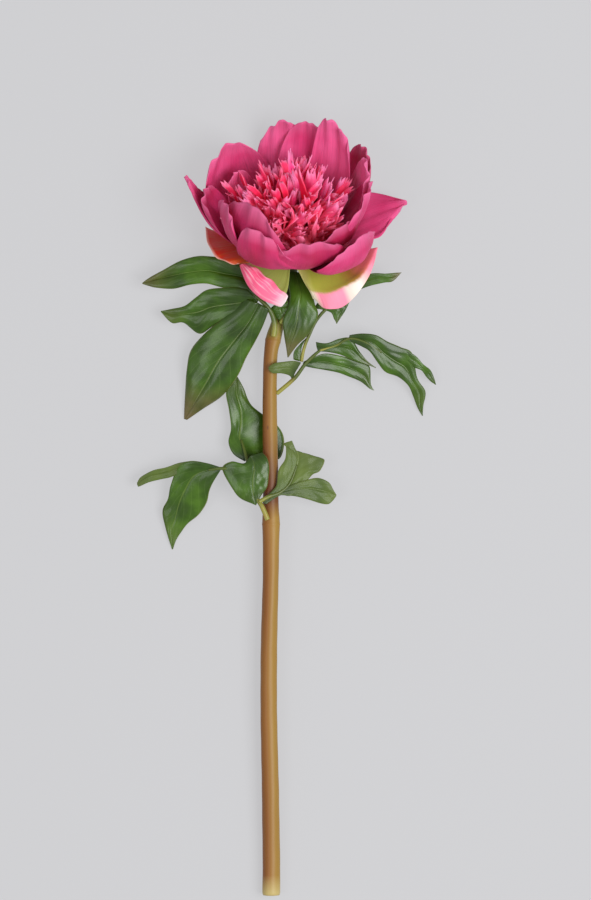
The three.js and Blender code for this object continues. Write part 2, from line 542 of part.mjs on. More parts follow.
      [[-72.6, 24.3, 12.4], [-74.4, 21, 11], [-75.6, 17.1, 10.4]],
      [[-80.4, 22.5, 11], [-81.9, 19.5, 9.6], [-82.8, 15.3, 9]],
      [[-87.6, 18.6, 9.4], [-87.6, 16.2, 8.8], [-87.6, 13.2, 8.4]],
      [[-90.1, 15, 8.6], [-90, 13.8, 8.4], [-89.4, 12.6, 8.2]],
    ] },
    { arch: 0.3, rows: [
      [[-14.4, 3.6, 19.4], [-13.2, 2.7, 19.4], [-12, 2.1, 19.2]],
      [[-9.6, 9, 18.8], [-6.6, 7.8, 18.4], [-3.6, 7.4, 18]],
      [[-5.7, 13.8, 17.8], [-0.6, 10.8, 17], [3.6, 7.5, 16.4]],
      [[-4.5, 22.8, 17], [2.7, 15.6, 15.6], [12, 15.6, 15]],
      [[-0.6, 29.4, 16.4], [6, 22.8, 15], [16.2, 20.1, 14]],
      [[-0.1, 36.6, 16], [7.2, 29.4, 14.4], [20.4, 22.2, 13.4]],
      [[-1.5, 38.7, 15.8], [6.6, 33.6, 14.2], [23.2, 28.8, 13]],
      [[3.6, 40.5, 15.6], [6, 34.5, 14.2], [18, 29.7, 13.2]],
    ] },
    { arch: 0.4, rows: [
      [[-4.2, 10.2, 17.8], [-3.6, 9, 17.8], [-3, 7.6, 17.8]],
      [[4.8, 14.4, 16.4], [4.8, 11.1, 16.4], [5.4, 6.9, 16]],
      [[11.4, 16.5, 15.4], [12.6, 12, 15], [13.8, 4.8, 14.4]],
      [[19.2, 18, 14.4], [19.8, 10.8, 13.6], [20.4, 2.7, 13]],
      [[25.8, 15.3, 13.4], [25.2, 9.6, 12.6], [25.2, 2.1, 12]],
      [[28.5, 10.8, 12.6], [28.5, 8.4, 12.2], [27.9, 3.9, 11.8]],
      [[30.3, 7.8, 12], [30.4, 7.4, 12], [30, 6.6, 11.8]],
    ] },
  ],
};

// The leaf stalks, each as points with a radius
const STALKS = {
  leaf_left: [
    [
      [-7.4, 103.2, 17.9, 1.7], [-6.9, 110.4, 18.7, 1.7], [-9, 117.6, 20, 1.5], [-14.4, 124.2, 21.5, 1.3],
      [-21.6, 129.6, 21, 0.9],
    ],
  ],
  leaf_front: [
    [[-3.3, 111.3, 16.5, 1.3], [-1.2, 114.6, 17.4, 1.2], [3, 120, 19.4, 1.1], [7.8, 123, 21, 0.8]],
  ],
  leaf_right: [
    [
      [-4.4, 69.9, 12.4, 1.3], [2.4, 75.6, 12.8, 1.3], [6.6, 79.8, 13.4, 1.2], [11.4, 86.4, 14.4, 1.1],
      [16.8, 91.8, 15.4, 1], [20.4, 94.8, 16, 0.8],
    ],
    [
      [20.4, 94.8, 16, 0.8], [30, 97.8, 15.5, 0.8], [38.4, 102, 16.6, 0.8], [48, 99.6, 17, 0.7],
      [57.6, 93.6, 15, 0.6],
    ],
  ],
  leaf_under_bloom: [
    [
      [9.3, 88.2, 12.6, 1], [10.8, 96, 14, 1], [13.8, 103.8, 15.4, 1], [18.6, 113.4, 16.4, 1],
      [26.4, 121.8, 17.6, 1], [37.2, 129.6, 17.6, 0.9], [45.6, 135, 17.2, 0.7],
    ],
  ],
  leaf_lower: [
    [
      [-11.1, -7.2, 19, 1.6], [-14.4, 0.6, 19.6, 1.5], [-18, 6.6, 20.4, 1.2], [-21.6, 16.8, 20.8, 1],
      [-30, 22.8, 19.8, 1], [-39, 23.7, 18.4, 1], [-46.8, 22.8, 16.8, 0.7],
    ],
    [
      [-16.2, 3.6, 20, 1.2], [-10.8, 6.6, 19.2, 1.2], [-3.6, 9.3, 17.6, 1.1], [2.4, 15, 16, 0.9],
      [6.6, 25.8, 15, 0.6],
    ],
    [[-21.6, 22.8, 20.4, 1], [-23.7, 29.4, 15, 1], [-27, 40.8, 9.4, 0.7]],
  ],
};

// The stem, from the cut end to the neck, as points with a radius
const STEM = [
  [-9, -234.3, 5.4, 5.4],
  [-9, -211.2, 6.2, 5.3],
  [-9.3, -175.2, 7.5, 5.2],
  [-9.9, -151.2, 8.3, 5.1],
  [-10.5, -115.2, 9.4, 5],
  [-10.5, -91.2, 10, 5],
  [-9.9, -67.2, 10.6, 4.9],
  [-9.3, -43.2, 11.2, 4.8],
  [-9, -19.2, 11.7, 5],
  [-9, -8.4, 11.9, 5.2],
  [-9.3, 4.8, 12, 4.7],
  [-9.6, 40.8, 12, 4.5],
  [-9.9, 64.8, 12.2, 4.3],
  [-9.6, 82.8, 12.4, 4.2],
  [-9, 93.6, 12.2, 4.2],
  [-7.5, 102, 11.8, 4.3],
  [-4.8, 111.6, 10.6, 4.1],
  [-1.8, 121.2, 9, 4],
  [0.3, 129, 7.4, 3.9],
  [1.8, 136.2, 6.6, 3.9],
  [2.6, 141.3, 7.2, 4],
  [3, 145.8, 8.9, 4.1],
  [3, 148.4, 11.4, 4.4],
];

// Turned bodies on the axis of the bloom, as radius and height above its base
const CORE = [[0, 5.4], [8, 5.4], [17, 8.6], [23, 14], [22, 20], [17, 25], [9, 28], [0, 29]];
const CUP_BASE = [
  [0, 0.2], [9, 0.2], [15, 0.7], [20, 3], [21.5, 5.5], [20, 7.4], [14, 5.6], [8, 4.8], [0, 4.8],
];
const LOWER_BASE = [[0, -2.3], [8, -2.3], [8.6, -1.4], [8, -0.3], [0, -0.3]];
const CALYX = [[0, -10], [4.6, -10], [6, -8.6], [7.4, -6.2], [7.2, -4], [6, -2.6], [0, -2.6]];

// Several solids joined in one body
const fuse = (parts) => parts.reduce((a, b) => a.add(b));

// The body without the small closed pockets that crossing sheets leave inside it
function filled(body) {
  const shells = body.decompose().filter((shell) => shell.volume() > SCRAP_VOLUME);
  if (shells.length !== 1) throw new Error(`the node has ${shells.length} separate bodies`);
  return shells[0];
}

// What lies below the table's surface, which presses the lowest petals flat
const floor = wasm.Manifold.cube([SPACE_BELOW.width, SPACE_BELOW.length, SPACE_BELOW.depth], true)
  .translate([0, 0, -SPACE_BELOW.depth / 2]);

const object = new THREE.Group();
object.name = "cut_peony_stem";

// One named node of the object
function node(name, body, colour, roughness) {
  const mesh = filled(body).getMesh();
  const geometry = new THREE.BufferGeometry();
  geometry.setAttribute("position", new THREE.Float32BufferAttribute(mesh.vertProperties, 3));
  geometry.setIndex(Array.from(mesh.triVerts));
  geometry.computeVertexNormals();
  const material = new THREE.MeshStandardMaterial({ color: colour, roughness, metalness: 0 });
  const piece = new THREE.Mesh(geometry, material);
  piece.name = name;
  object.add(piece);
}

// One leaf: its blades and its stalks, grown together
const leaf = (name) => fuse([
  ...BLADES[name].map(blade),
  ...STALKS[name].map((path) => stalk(path, STALK_SIDES, 1)),
]);

const lowerPetals = fuse([turned(LOWER_BASE, CUP_SIDES), ...Object.values(LOWER).map(drape)]);
const guardPetals = fuse([turned(CUP_BASE, CUP_SIDES), ...Object.values(GUARDS).map(petal)]);
const petaloids = Array.from({ length: PETALOIDS }, (_, i) => petaloid(i));

node("stem", stalk(STEM, STEM_SIDES, 1), 0xa2794a, 0.6);
node("calyx", turned(CALYX, CUP_SIDES), 0x5a6e3c, 0.6);
node("lower_petals", lowerPetals, 0xf08fa5, 0.6);
node("guard_petals", guardPetals.subtract(floor), 0xc23d65, 0.6);
node("petaloid_crest", fuse([turned(CORE, CORE_SIDES), ...petaloids]), 0xd94065, 0.5);
for (const name of Object.keys(BLADES)) node(name, leaf(name).subtract(floor), 0x4d6f39, 0.35);

export default object;
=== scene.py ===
"""A cut peony lying on a table: its looks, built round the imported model."""

import bpy
import numpy as np
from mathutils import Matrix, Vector


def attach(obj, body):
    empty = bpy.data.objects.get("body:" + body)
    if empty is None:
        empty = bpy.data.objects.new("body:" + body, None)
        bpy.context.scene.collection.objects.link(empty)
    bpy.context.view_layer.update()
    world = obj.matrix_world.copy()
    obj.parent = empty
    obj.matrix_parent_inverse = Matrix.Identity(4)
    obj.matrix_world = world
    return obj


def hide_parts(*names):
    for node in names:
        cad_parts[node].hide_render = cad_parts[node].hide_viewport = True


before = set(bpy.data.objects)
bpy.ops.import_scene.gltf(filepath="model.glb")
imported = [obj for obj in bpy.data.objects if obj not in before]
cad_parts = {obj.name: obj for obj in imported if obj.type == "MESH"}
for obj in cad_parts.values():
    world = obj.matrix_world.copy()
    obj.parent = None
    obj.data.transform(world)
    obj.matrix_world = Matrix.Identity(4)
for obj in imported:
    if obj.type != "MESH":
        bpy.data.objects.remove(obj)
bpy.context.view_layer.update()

# The view: the flower lies on a pale table, and the camera looks straight down on it. The table is a lit
# panel of milky plastic. A bright room, a soft lamp on the right and a weaker one on the left light it.
MM = 0.001
CAMERA_AT = (5.7, 34.8, 3030)
CAMERA_LENS = 200
TABLE_SIZE = 6000
TABLE_COLOUR, TABLE_GLOW, TABLE_GLOW_STRENGTH = "606062", "cfcfd1", 0.77
ROOM_LIGHT = 0.45
KEY_AT, KEY_SIZE, KEY_WATTS = (1150, -200, 1950), 1300, 43
FILL_AT, FILL_SIZE, FILL_WATTS = (-1150, -350, 1950), 900, 9


def linear(colour):
    """A hex colour in sRGB as the linear red, green, blue and alpha that a shader takes."""
    parts = [int(colour[k:k + 2], 16) / 255 for k in (0, 2, 4)]
    return [p / 12.92 if p <= 0.04045 else ((p + 0.055) / 1.055) ** 2.4 for p in parts] + [1.0]


def add(tree, kind, inputs=None, out=0, stops=None, **settings):
    """Adds a shader node and returns one of its outputs. Its properties come from settings, its ramp from
    stops, and its inputs, by name or number, from values, hex colours or the outputs of other nodes."""
    node = tree.nodes.new("ShaderNode" + kind)
    for name, value in settings.items():
        setattr(node, name, value)
    for k, (place, colour) in enumerate(stops or []):
        ramp = node.color_ramp.elements
        stop = ramp[k] if k < 2 else ramp.new(place)
        stop.position = place
        stop.color = linear(colour)
    for key, value in (inputs or {}).items():
        if isinstance(value, bpy.types.NodeSocket):
            tree.links.new(value, node.inputs[key])
        else:
            node.inputs[key].default_value = linear(value) if isinstance(value, str) else value
    return node.outputs[out] if len(node.outputs) else node


def new_material(name):
    """An empty node material and its tree."""
    material = bpy.data.materials.new(name)
    material.use_nodes = True
    material.node_tree.nodes.clear()
    return material, material.node_tree


def put(name, thing):
    """Adds an object to the scene at the origin."""
    piece = bpy.data.objects.new(name, thing)
    bpy.context.scene.collection.objects.link(piece)
    return piece


def lamp(name, place, size, watts):
    """A soft square lamp that points at the middle of the flower."""
    light = bpy.data.lights.new(name, "AREA")
    light.size = size * MM
    light.energy = watts
    piece = put(name, light)
    piece.location = Vector(place) * MM
    piece.rotation_euler = Vector([-c for c in place]).to_track_quat("-Z", "Y").to_euler()


camera = put("camera", bpy.data.cameras.new("camera"))
camera.data.lens = CAMERA_LENS
camera.location = Vector(CAMERA_AT) * MM
bpy.context.scene.camera = camera
bpy.context.scene.view_settings.view_transform = "Standard"
lamp("key_lamp", KEY_AT, KEY_SIZE, KEY_WATTS)
lamp("fill_lamp", FILL_AT, FILL_SIZE, FILL_WATTS)

world = bpy.data.worlds.new("room")
world.use_nodes = True
world.node_tree.nodes["Background"].inputs["Color"].default_value = (1, 1, 1, 1)
world.node_tree.nodes["Background"].inputs["Strength"].default_value = ROOM_LIGHT
bpy.context.scene.world = world

# Lit milky plastic: it glows evenly, so that shadows on it stay faint.
panel, tree = new_material("lit_milky_plastic")
surface = add(tree, "BsdfPrincipled", {
    "Base Color": TABLE_COLOUR, "Roughness": 0.95, "Emission Color": TABLE_GLOW,
    "Emission Strength": TABLE_GLOW_STRENGTH})
add(tree, "OutputMaterial", {"Surface": surface})
table_mesh = bpy.data.meshes.new("table")
side = TABLE_SIZE * MM / 2
table_corners = [(-side, -side, 0), (side, -side, 0), (side, side, 0), (-side, side, 0)]
table_mesh.from_pydata(table_corners, [], [(0, 1, 2, 3)])
table_mesh.materials.append(panel)
put("table", table_mesh)

# The stem: one woody stalk, thicker at the two leaf joints and curved under the bloom. It is brown
# outside, with streaks and small specks, greener near the bloom, and cut flat and pale at the lower end.
STEM_SIDES = 40
STEM_STEP = 1.2
JOINT_UPPER, JOINT_LOWER, CUT_END = 102.0, -8.0, -234.3
SWELL_UPPER, SWELL_LOWER = 0.3, 0.1
RIDGE_HEIGHT, RIDGE_REACH = 0.2, 0.7
CUT_ROUNDING = 0.35
SLOW_WAVES, LONG_WAVES, FINE_WAVES = 0.07, 0.06, 0.04
PLAIN_TONE = 0.5
STEM_PATH = [
    (-9, CUT_END, 5.4, 5.4), (-9, -211.2, 6.2, 5.3), (-9.3, -175.2, 7.5, 5.2), (-9.9, -151.2, 8.3, 5.1),
    (-10.5, -115.2, 9.4, 5), (-10.5, -91.2, 10, 5), (-9.9, -67.2, 10.6, 4.9), (-9.3, -43.2, 11.2, 4.8),
    (-9, -19.2, 11.7, 5), (-9, -8.4, 11.9, 5.2), (-9.3, 4.8, 12, 4.7), (-9.6, 40.8, 12, 4.5),
    (-9.9, 64.8, 12.2, 4.3), (-9.6, 82.8, 12.4, 4.2), (-9, 93.6, 12.2, 4.2), (-7.5, 102, 11.8, 4.3),
    (-4.8, 111.6, 10.6, 4.1), (-1.8, 121.2, 9, 4), (0.3, 129, 7.4, 3.9), (1.8, 136.2, 6.6, 3.9),
    (2.6, 141.3, 7.2, 4), (3, 145.8, 8.9, 4.1), (3, 148.4, 11.4, 4.4),
]


def through(rows, v):
    """A smooth curve through every row of a table: a cubic between neighbours whose slope at a row is half
    the step from the row before to the row after. v runs from 0 at the first row to 1 at the last."""
    table = np.asarray(rows, float)
    last = len(table) - 1
    x = np.clip(v, 0, 1) * last
    i = np.minimum(np.floor(x).astype(int), last - 1)
    f = (x - i).reshape(x.shape + (1,) * (table.ndim - 1))
    before, here = table[np.maximum(i - 1, 0)], table[i]
    there, after = table[i + 1], table[np.minimum(i + 2, last)]
    start, end = (there - before) / 2, (after - here) / 2
    return ((2 * f**3 - 3 * f**2 + 1) * here + (f**3 - 2 * f**2 + f) * start
            + (3 * f**2 - 2 * f**3) * there + (f**3 - f**2) * end)


def unit(vectors):
    """Vectors made one long."""
    return vectors / np.maximum(np.linalg.norm(vectors, axis=-1, keepdims=True), 1e-9)


def marks(across, along, tone, face):
    """What a material reads at each point: its place across and along, its piece's tone, and its side."""
    return np.stack(np.broadcast_arrays(across, along, tone, face), -1).reshape(-1, 4)


def loft(rings, along):
    """A closed round body from rings of points, as (points, faces, marks, 0): four-sided faces between
    neighbouring rings, and a fan from the middle of each end ring. The 0 counts its flat faces."""
    count, sides = rings.shape[:2]
    ids = np.arange(count * sides).reshape(count, sides)
    after = np.roll(ids, -1, axis=1)
    walls = np.stack([ids[:-1], ids[1:], after[1:], after[:-1]], -1).reshape(-1, 4)
    first, last = count * sides, count * sides + 1
    fans = [[first, a, b] for a, b in zip(ids[0].tolist(), after[0].tolist())]
    fans += [[last, b, a] for a, b in zip(ids[-1].tolist(), after[-1].tolist())]
    points = np.concatenate([rings.reshape(-1, 3), rings[:1].mean(1), rings[-1:].mean(1)])
    around = np.append(np.tile(np.arange(sides) / sides, count), [0, 0])
    places = np.concatenate([np.repeat(along, sides), along[:1], along[-1:]])
    return points, walls.tolist() + fans, marks(around, places, PLAIN_TONE, 0), 0


def stalk(path, sides, steps, bumps=None):
    """A round stalk: circles of the path's radius, square to a smooth curve through its points. bumps takes
    the angle and y, and gives what is added to the radius, in millimetres."""
    v = np.linspace(0, 1, steps + 1)
    line = through(path, v)
    tangent = unit(np.gradient(line[:, :3], axis=0))
    level = unit(np.cross(tangent, [0, 0, 1]))
    up = np.cross(level, tangent)
    turn = 2 * np.pi * np.arange(sides) / sides - np.pi / 2
    radius = line[:, 3:] + (bumps(turn[None], line[:, 1:2]) if bumps else 0)
    ring = np.cos(turn)[None, :, None] * level[:, None] + np.sin(turn)[None, :, None] * up[:, None]
    return loft(line[:, None, :3] + radius[..., None] * ring, v)


def build(name, groups, node):
    """One mesh in metres that rides on the flower in place of its node. groups pairs each material with
    its parts, as (points, faces, marks, number of flat faces at the end). The marks become a UV map and the
    attributes tone and face."""
    parts = [(part, number) for number, (_, some) in enumerate(groups) for part in some]
    starts = np.cumsum([0] + [len(part[0]) for part, _ in parts]).tolist()
    points = np.concatenate([part[0] for part, _ in parts]) * MM
    faces = [[k + start for k in face] for start, (part, _) in zip(starts, parts) for face in part[1]]
    notes = np.concatenate([part[2] for part, _ in parts]).astype(np.float32)
    mesh = bpy.data.meshes.new(name)
    mesh.from_pydata(points.tolist(), [], faces)
    smooth = [k < len(part[1]) - part[3] for part, _ in parts for k in range(len(part[1]))]
    mesh.polygons.foreach_set("use_smooth", smooth)
    mesh.polygons.foreach_set("material_index", [number for part, number in parts for _ in part[1]])
    corner = np.zeros(len(mesh.loops), np.int32)
    mesh.loops.foreach_get("vertex_index", corner)
    mesh.uv_layers.new(name="place").uv.foreach_set("vector", notes[corner, :2].ravel())
    for k, label in ((2, "tone"), (3, "face")):
        mesh.attributes.new(label, "FLOAT", "POINT").data.foreach_set("value", notes[:, k].copy())
    for material, _ in groups:
        mesh.materials.append(material)
    piece = put(name, mesh)
    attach(piece, "root")
    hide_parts(node)


def hill(x, place, reach):
    """A smooth hill, one high at its place: e to the minus square of the distance over its reach."""
    return np.exp(-(((x - place) / reach) ** 2))


def stem_bumps(turn, y):
    """Swellings at the two joints with a ridge below each, slow waves round and along the stalk, and a
    rounded edge at the cut."""
    swells = SWELL_UPPER * hill(y, JOINT_UPPER, 5) + SWELL_LOWER * hill(y, JOINT_LOWER, 6)
    ridges = hill(y, JOINT_UPPER - 1.5, RIDGE_REACH) + hill(y, JOINT_LOWER - 2, RIDGE_REACH)
    waves = SLOW_WAVES * np.sin(3 * turn + y / 21) + LONG_WAVES * np.sin(y / 9 + turn)
    waves += FINE_WAVES * np.sin(y / 3.1 + 2 * turn)
    return swells + RIDGE_HEIGHT * ridges + waves - CUT_ROUNDING * hill(y, CUT_END, 0.8)


def read(tree, what):
    """What a material reads at a point: the spot in the room, the tone or face of the piece, or its place on
    the piece, as a whole or only across or along it."""
    if what == "spot":
        return add(tree, "TexCoord", out="Object")
    if what in ("tone", "face"):
        return add(tree, "Attribute", out="Fac", attribute_name=what)
    place = add(tree, "UVMap", uv_map="place")
    if what == "place":
        return place
    return add(tree, "SeparateXYZ", {"Vector": place}, out="X" if what == "across" else "Y")


def tint(tree, base, value, start, end, most, colour):
    """A base colour with another mixed in: none of it where the value is at start, most of it from end on."""
    share = add(tree, "MapRange", {"Value": value, "From Min": start, "From Max": end, "To Max": most})
    return add(tree, "Mix", {0: share, 6: base, 7: colour}, out=2, data_type="RGBA")


# Skin of a fresh peony stalk: smooth and satin, with soft streaks that run along it and small dark pores. It
# has painted shade that makes it red-brown on the left and painted light that makes it olive on the right, a
# painted shadow of the lower leaf above the lower joint, and it is pale at the cut.
bark, tree = new_material("peony_stalk_skin")
spot = read(tree, "spot")
height = add(tree, "SeparateXYZ", {"Vector": spot}, out="Y")
grain = add(tree, "Mapping", {"Vector": spot, "Scale": (1, 0.02, 1)})
streaks = add(tree, "TexNoise", {"Vector": grain, "Scale": 420, "Detail": 2})
patch_place = add(tree, "Mapping", {"Vector": spot, "Scale": (1, 0.2, 1)})
patches = add(tree, "TexNoise", {"Vector": patch_place, "Scale": 45, "Detail": 2})
browns = add(tree, "ValToRGB", {"Fac": patches},
             stops=[(0.35, "865320"), (0.52, "926426"), (0.7, "a2762e")])
striped = tint(tree, browns, streaks, 0.45, 0.75, 0.35, "86702a")
upper = tint(tree, striped, height, -0.01, 0.09, 0.6, "785420")
# Painted light and shade: the stem is painted olive on its lit right side and red-brown on its shaded left
# side.
side_light_and_shade = add(tree, "ValToRGB", {"Fac": read(tree, "across")},
                 stops=[(0.42, "9e8038"), (0.5, "986e30"), (0.56, "885424"), (0.75, "7e441d")])
sided = add(tree, "Mix", {0: 0.6, 6: upper, 7: side_light_and_shade}, out=2, data_type="RGBA")
neck = tint(tree, sided, height, 0.101, 0.106, 0.7, "8d8a3c")
shadowed = tint(tree, neck, height, 0.114, 0.124, 0.9, "2c3a16")
# Painted shadow: dark red-brown on the stem above the lower joint, where the lower leaf lies over it.
leaf_shadow_share = add(tree, "MapRange", {"Value": height, "From Min": 0.05, "From Max": 0.014, "To Max": 0.8})
leaf_shadow_end = add(tree, "MapRange", {"Value": height, "From Min": -0.006, "From Max": 0.004})
leaf_shadow_amount = add(tree, "Math", {0: leaf_shadow_share, 1: leaf_shadow_end}, operation="MULTIPLY")
leaf_shadowed = add(tree, "Mix", {0: leaf_shadow_amount, 6: shadowed, 7: "5c2618"}, out=2, data_type="RGBA")
pore_place = add(tree, "Mapping", {"Vector": spot, "Scale": (1, 0.45, 1)})
pores = add(tree, "TexVoronoi", {"Vector": pore_place, "Scale": 190})
pore_share = add(tree, "MapRange", {"Value": pores, "From Min": 0.16, "From Max": 0.06, "To Max": 0.8})
rare = add(tree, "TexNoise", {"Vector": spot, "Scale": 45})
below_joint = add(tree, "MapRange", {"Value": height, "From Min": -0.06, "From Max": -0.025, "To Max": 0.1})
crowd = add(tree, "Math", {0: rare, 1: below_joint}, operation="ADD")
rare_share = add(tree, "MapRange", {"Value": crowd, "From Min": 0.57, "From Max": 0.63})
pore_amount = add(tree, "Math", {0: pore_share, 1: rare_share}, operation="MULTIPLY")
specked = add(tree, "Mix", {0: pore_amount, 6: leaf_shadowed, 7: "5a3420"}, out=2, data_type="RGBA")
bark_colour = tint(tree, specked, height, -0.222, -0.233, 1, "b8a468")
bump = add(tree, "Bump", {"Height": streaks, "Distance": 0.04 * MM})
surface = add(tree, "BsdfPrincipled", {
    "Base Color": bark_colour, "Roughness": 0.45, "Normal": bump, "Specular IOR Level": 0.35})
add(tree, "OutputMaterial", {"Surface": surface})

stem_steps = int((STEM_PATH[-1][1] - CUT_END) / STEM_STEP)
build("stem", [(bark, [stalk(STEM_PATH, STEM_SIDES, stem_steps, stem_bumps)])], "stem")

# The calyx: the green cup on the stem's end that the petals grow from, with five blunt sepals pressed
# round it. It is matt green tissue, turned about the axis of the bloom.
BLOOM_RISE = np.radians(43)
CUP_DEPTH = 50
RIM_CENTRE = np.array([3, 192.6, 52.6])
RIGHT = np.array([1.0, 0.0, 0.0])
AXIS = np.array([0.0, np.cos(BLOOM_RISE), np.sin(BLOOM_RISE)])
BACK = np.array([0.0, np.sin(BLOOM_RISE), -np.cos(BLOOM_RISE)])
BASE = RIM_CENTRE - CUP_DEPTH * AXIS
CALYX_PROFILE = [(0.3, -10), (4.6, -10), (6, -8.6), (7.4, -6.2), (7.2, -4), (6, -2.6), (0.3, -2.6)]


def turned(profile, sides, steps, lobes=0, lobe_height=0.0):
    """A body turned round the axis of the bloom: a smooth profile of radius and height, with lobes as a
    sine of the angle on its radius."""
    line = through(profile, np.linspace(0, 1, steps + 1))
    angle = 2 * np.pi * np.arange(sides) / sides
    radius = line[:, :1] * (1 + lobe_height * np.sin(lobes * angle)[None])
    ring = np.cos(angle)[:, None] * RIGHT + np.sin(angle)[:, None] * BACK
    points = BASE + radius[..., None] * ring + (line[:, 1:] * np.ones(sides))[..., None] * AXIS
    return loft(points[:, ::-1], np.linspace(0, 1, steps + 1))


# Sepal tissue: soft and matt, mottled in two greens.
green_cup, tree = new_material("green_sepal_tissue")
patches = add(tree, "TexNoise", {"Vector": read(tree, "spot"), "Scale": 180, "Detail": 4})
greens = add(tree, "ValToRGB", {"Fac": patches}, stops=[(0.35, "4c6a2c"), (0.65, "7c8f45")])
bump = add(tree, "Bump", {"Height": patches, "Distance": 0.2 * MM})
surface = add(tree, "BsdfPrincipled", {"Base Color": greens, "Roughness": 0.55, "Normal": bump})
add(tree, "OutputMaterial", {"Surface": surface})
cup = turned(CALYX_PROFILE, sides=60, steps=36, lobes=5, lobe_height=0.05)
build("calyx", [(green_cup, [cup])], "calyx")

# The outermost petals: three that hang back under the cup. They are thin petal tissue, green and cream near
# the claw, and pink where the free edge rolls over. Each is a sheet through rows of points, claw to edge.
LOWER_CELLS = (56, 72)
LOWER_THICK = 0.8
RIPPLE_UP, RIPPLE_OUT = 0.8, 0.7
EDGE_SHARE, EDGE_SLOPE = 0.35, 6
TABLE_GAP = 0.01
LOWER_PETALS = {"rolled": [
    [(-0.2, 152.9, 20), (0.7, 152.4, 20.5), (1.8, 152.1, 20.8), (3, 152, 20.9)],
    [(-4.1, 149.9, 22.4), (-2, 148.8, 23.6), (0.4, 148.1, 24.3), (2.6, 147.9, 24.6)],
    [(-14.4, 150, 26), (-9.6, 142.8, 28), (-3.6, 136.2, 29), (1.2, 132.6, 29)],
    [(-24, 147.6, 28.5), (-18, 138, 30), (-9.6, 129.6, 31), (-1.8, 124.8, 31)],
    [(-27.6, 145.8, 32), (-22.8, 133.8, 34), (-14.4, 125.4, 35), (-3, 120.6, 35)],
    [(-25.8, 146.4, 36), (-19.2, 138, 39), (-10.8, 129.6, 39), (-0.6, 123, 38)],
    [(-21.6, 145.8, 36.5), (-13.8, 140.4, 39), (-5.4, 133.2, 39), (1.2, 126.6, 38)],
], "broad": [
    [(3.2, 152, 20.9), (4.3, 152.2, 20.7), (5.4, 152.5, 20.4), (6.3, 153, 19.8), (7, 153.7, 19)],
    [(3.4, 147.9, 24.6), (5.9, 148.2, 24.2), (8.3, 148.9, 23.5), (10.3, 150.1, 21.8),
     (11.8, 151.6, 19.8)],
    [(7.8, 141.6, 28), (13.8, 141.6, 29.5), (23.4, 142.8, 30), (33.6, 147, 27.9), (42.6, 155.1, 25.5)],
    [(11.4, 134.4, 32), (16.8, 133.2, 34), (26.4, 133.2, 35), (40.8, 141, 34.2), (49.2, 155.4, 31.4)],
    [(14.4, 129.6, 32.5), (19.8, 127.8, 35), (30, 128.4, 37), (45.6, 140.4, 37.2), (53.4, 156, 34.4)],
    [(16.2, 125.4, 30), (22.8, 120.6, 32), (33, 120, 33), (49.2, 137.4, 36.4), (54.9, 156.6, 35.2)],
], "red": [
    [(-0.2, 152.9, 20), (-0.8, 153.4, 19.4), (-1.2, 153.9, 18.8), (-1.4, 154.4, 18.2)],
    [(-4.1, 149.9, 22.4), (-5.4, 151.1, 21.2), (-6.4, 152.2, 20), (-6.8, 153.5, 18.6)],
    [(-14.4, 147.6, 28), (-20.4, 152.4, 24.5), (-25.2, 158.4, 18.5), (-28.8, 165.6, 10.5)],
    [(-22.8, 147, 32), (-31.2, 150, 31), (-38.4, 157.2, 23.5), (-42, 166.8, 12.5)],
    [(-28.8, 146.4, 33), (-38.4, 148.2, 34), (-46.2, 156.6, 31), (-48.6, 168.6, 18.5)],
]}
LOWER_BASE = [(0.3, -2.3), (8, -2.3), (8.6, -1.4), (8, -0.3), (0.3, -0.3)]


def sheet(points, thick, tone, turn_over=False):
    """A thin closed sheet, as (points, faces, marks, flat faces): each point of a grid moves half the
    thickness each way along the surface's normal, less towards the edges, and flat strips close the four
    edges. s runs across the sheet from -1 to 1, and v along it from 0 to 1. No point goes under the table."""
    wide, long = points.shape[:2]
    s = np.linspace(-1, 1, wide)[:, None]
    v = np.linspace(0, 1, long)[None]
    normal = unit(np.cross(np.gradient(points, axis=0), np.gradient(points, axis=1)))
    taper = np.minimum(1, EDGE_SHARE + EDGE_SLOPE * np.minimum(1 - np.abs(s), 1 - v))
    half = (thick / 2 * taper)[..., None]
    resting = points.copy()
    resting[..., 2] = np.maximum(points[..., 2], half[..., 0] + 2 * TABLE_GAP)
    ids = np.arange(wide * long).reshape(wide, long)
    upper = np.stack([ids[:-1, :-1], ids[1:, :-1], ids[1:, 1:], ids[:-1, 1:]], -1).reshape(-1, 4)
    loop = np.concatenate([ids[:-1, 0], ids[-1, :-1], ids[:0:-1, -1], ids[0, :0:-1]])
    after = np.roll(loop, -1)
    under = ids.size
    rim = np.stack([after, loop, loop + under, after + under], -1)
    both = np.concatenate([(resting + side * normal * half).reshape(-1, 3) for side in (1, -1)])
    both[:, 2] = np.maximum(both[:, 2], TABLE_GAP)
    notes = np.concatenate([marks((s + 1) / 2, v, tone, side != turn_over) for side in (True, False)])
    return both, np.concatenate([upper, upper[:, ::-1] + under, rim]).tolist(), notes, len(rim)


def drape(rows, tone):
    """A sheet through a table of points: smooth curves along the rows, and smooth curves across them, with
    small ripples that grow towards the free edge."""
    across, along = (np.linspace(0, 1, cells + 1) for cells in LOWER_CELLS)
    grid = through(through(rows, along).swapaxes(0, 1), across)
    s = 2 * across[:, None] - 1
    rim = np.maximum(np.abs(s) ** 4, along[None] ** 6)
    grid[..., 2] += RIPPLE_UP * np.sin(11 * s + 7 * along[None] + 9 * tone) * rim
    grid[..., 1] -= RIPPLE_OUT * np.sin(9 * s + 12 * tone) * along[None] ** 6
    return sheet(grid, LOWER_THICK, tone)


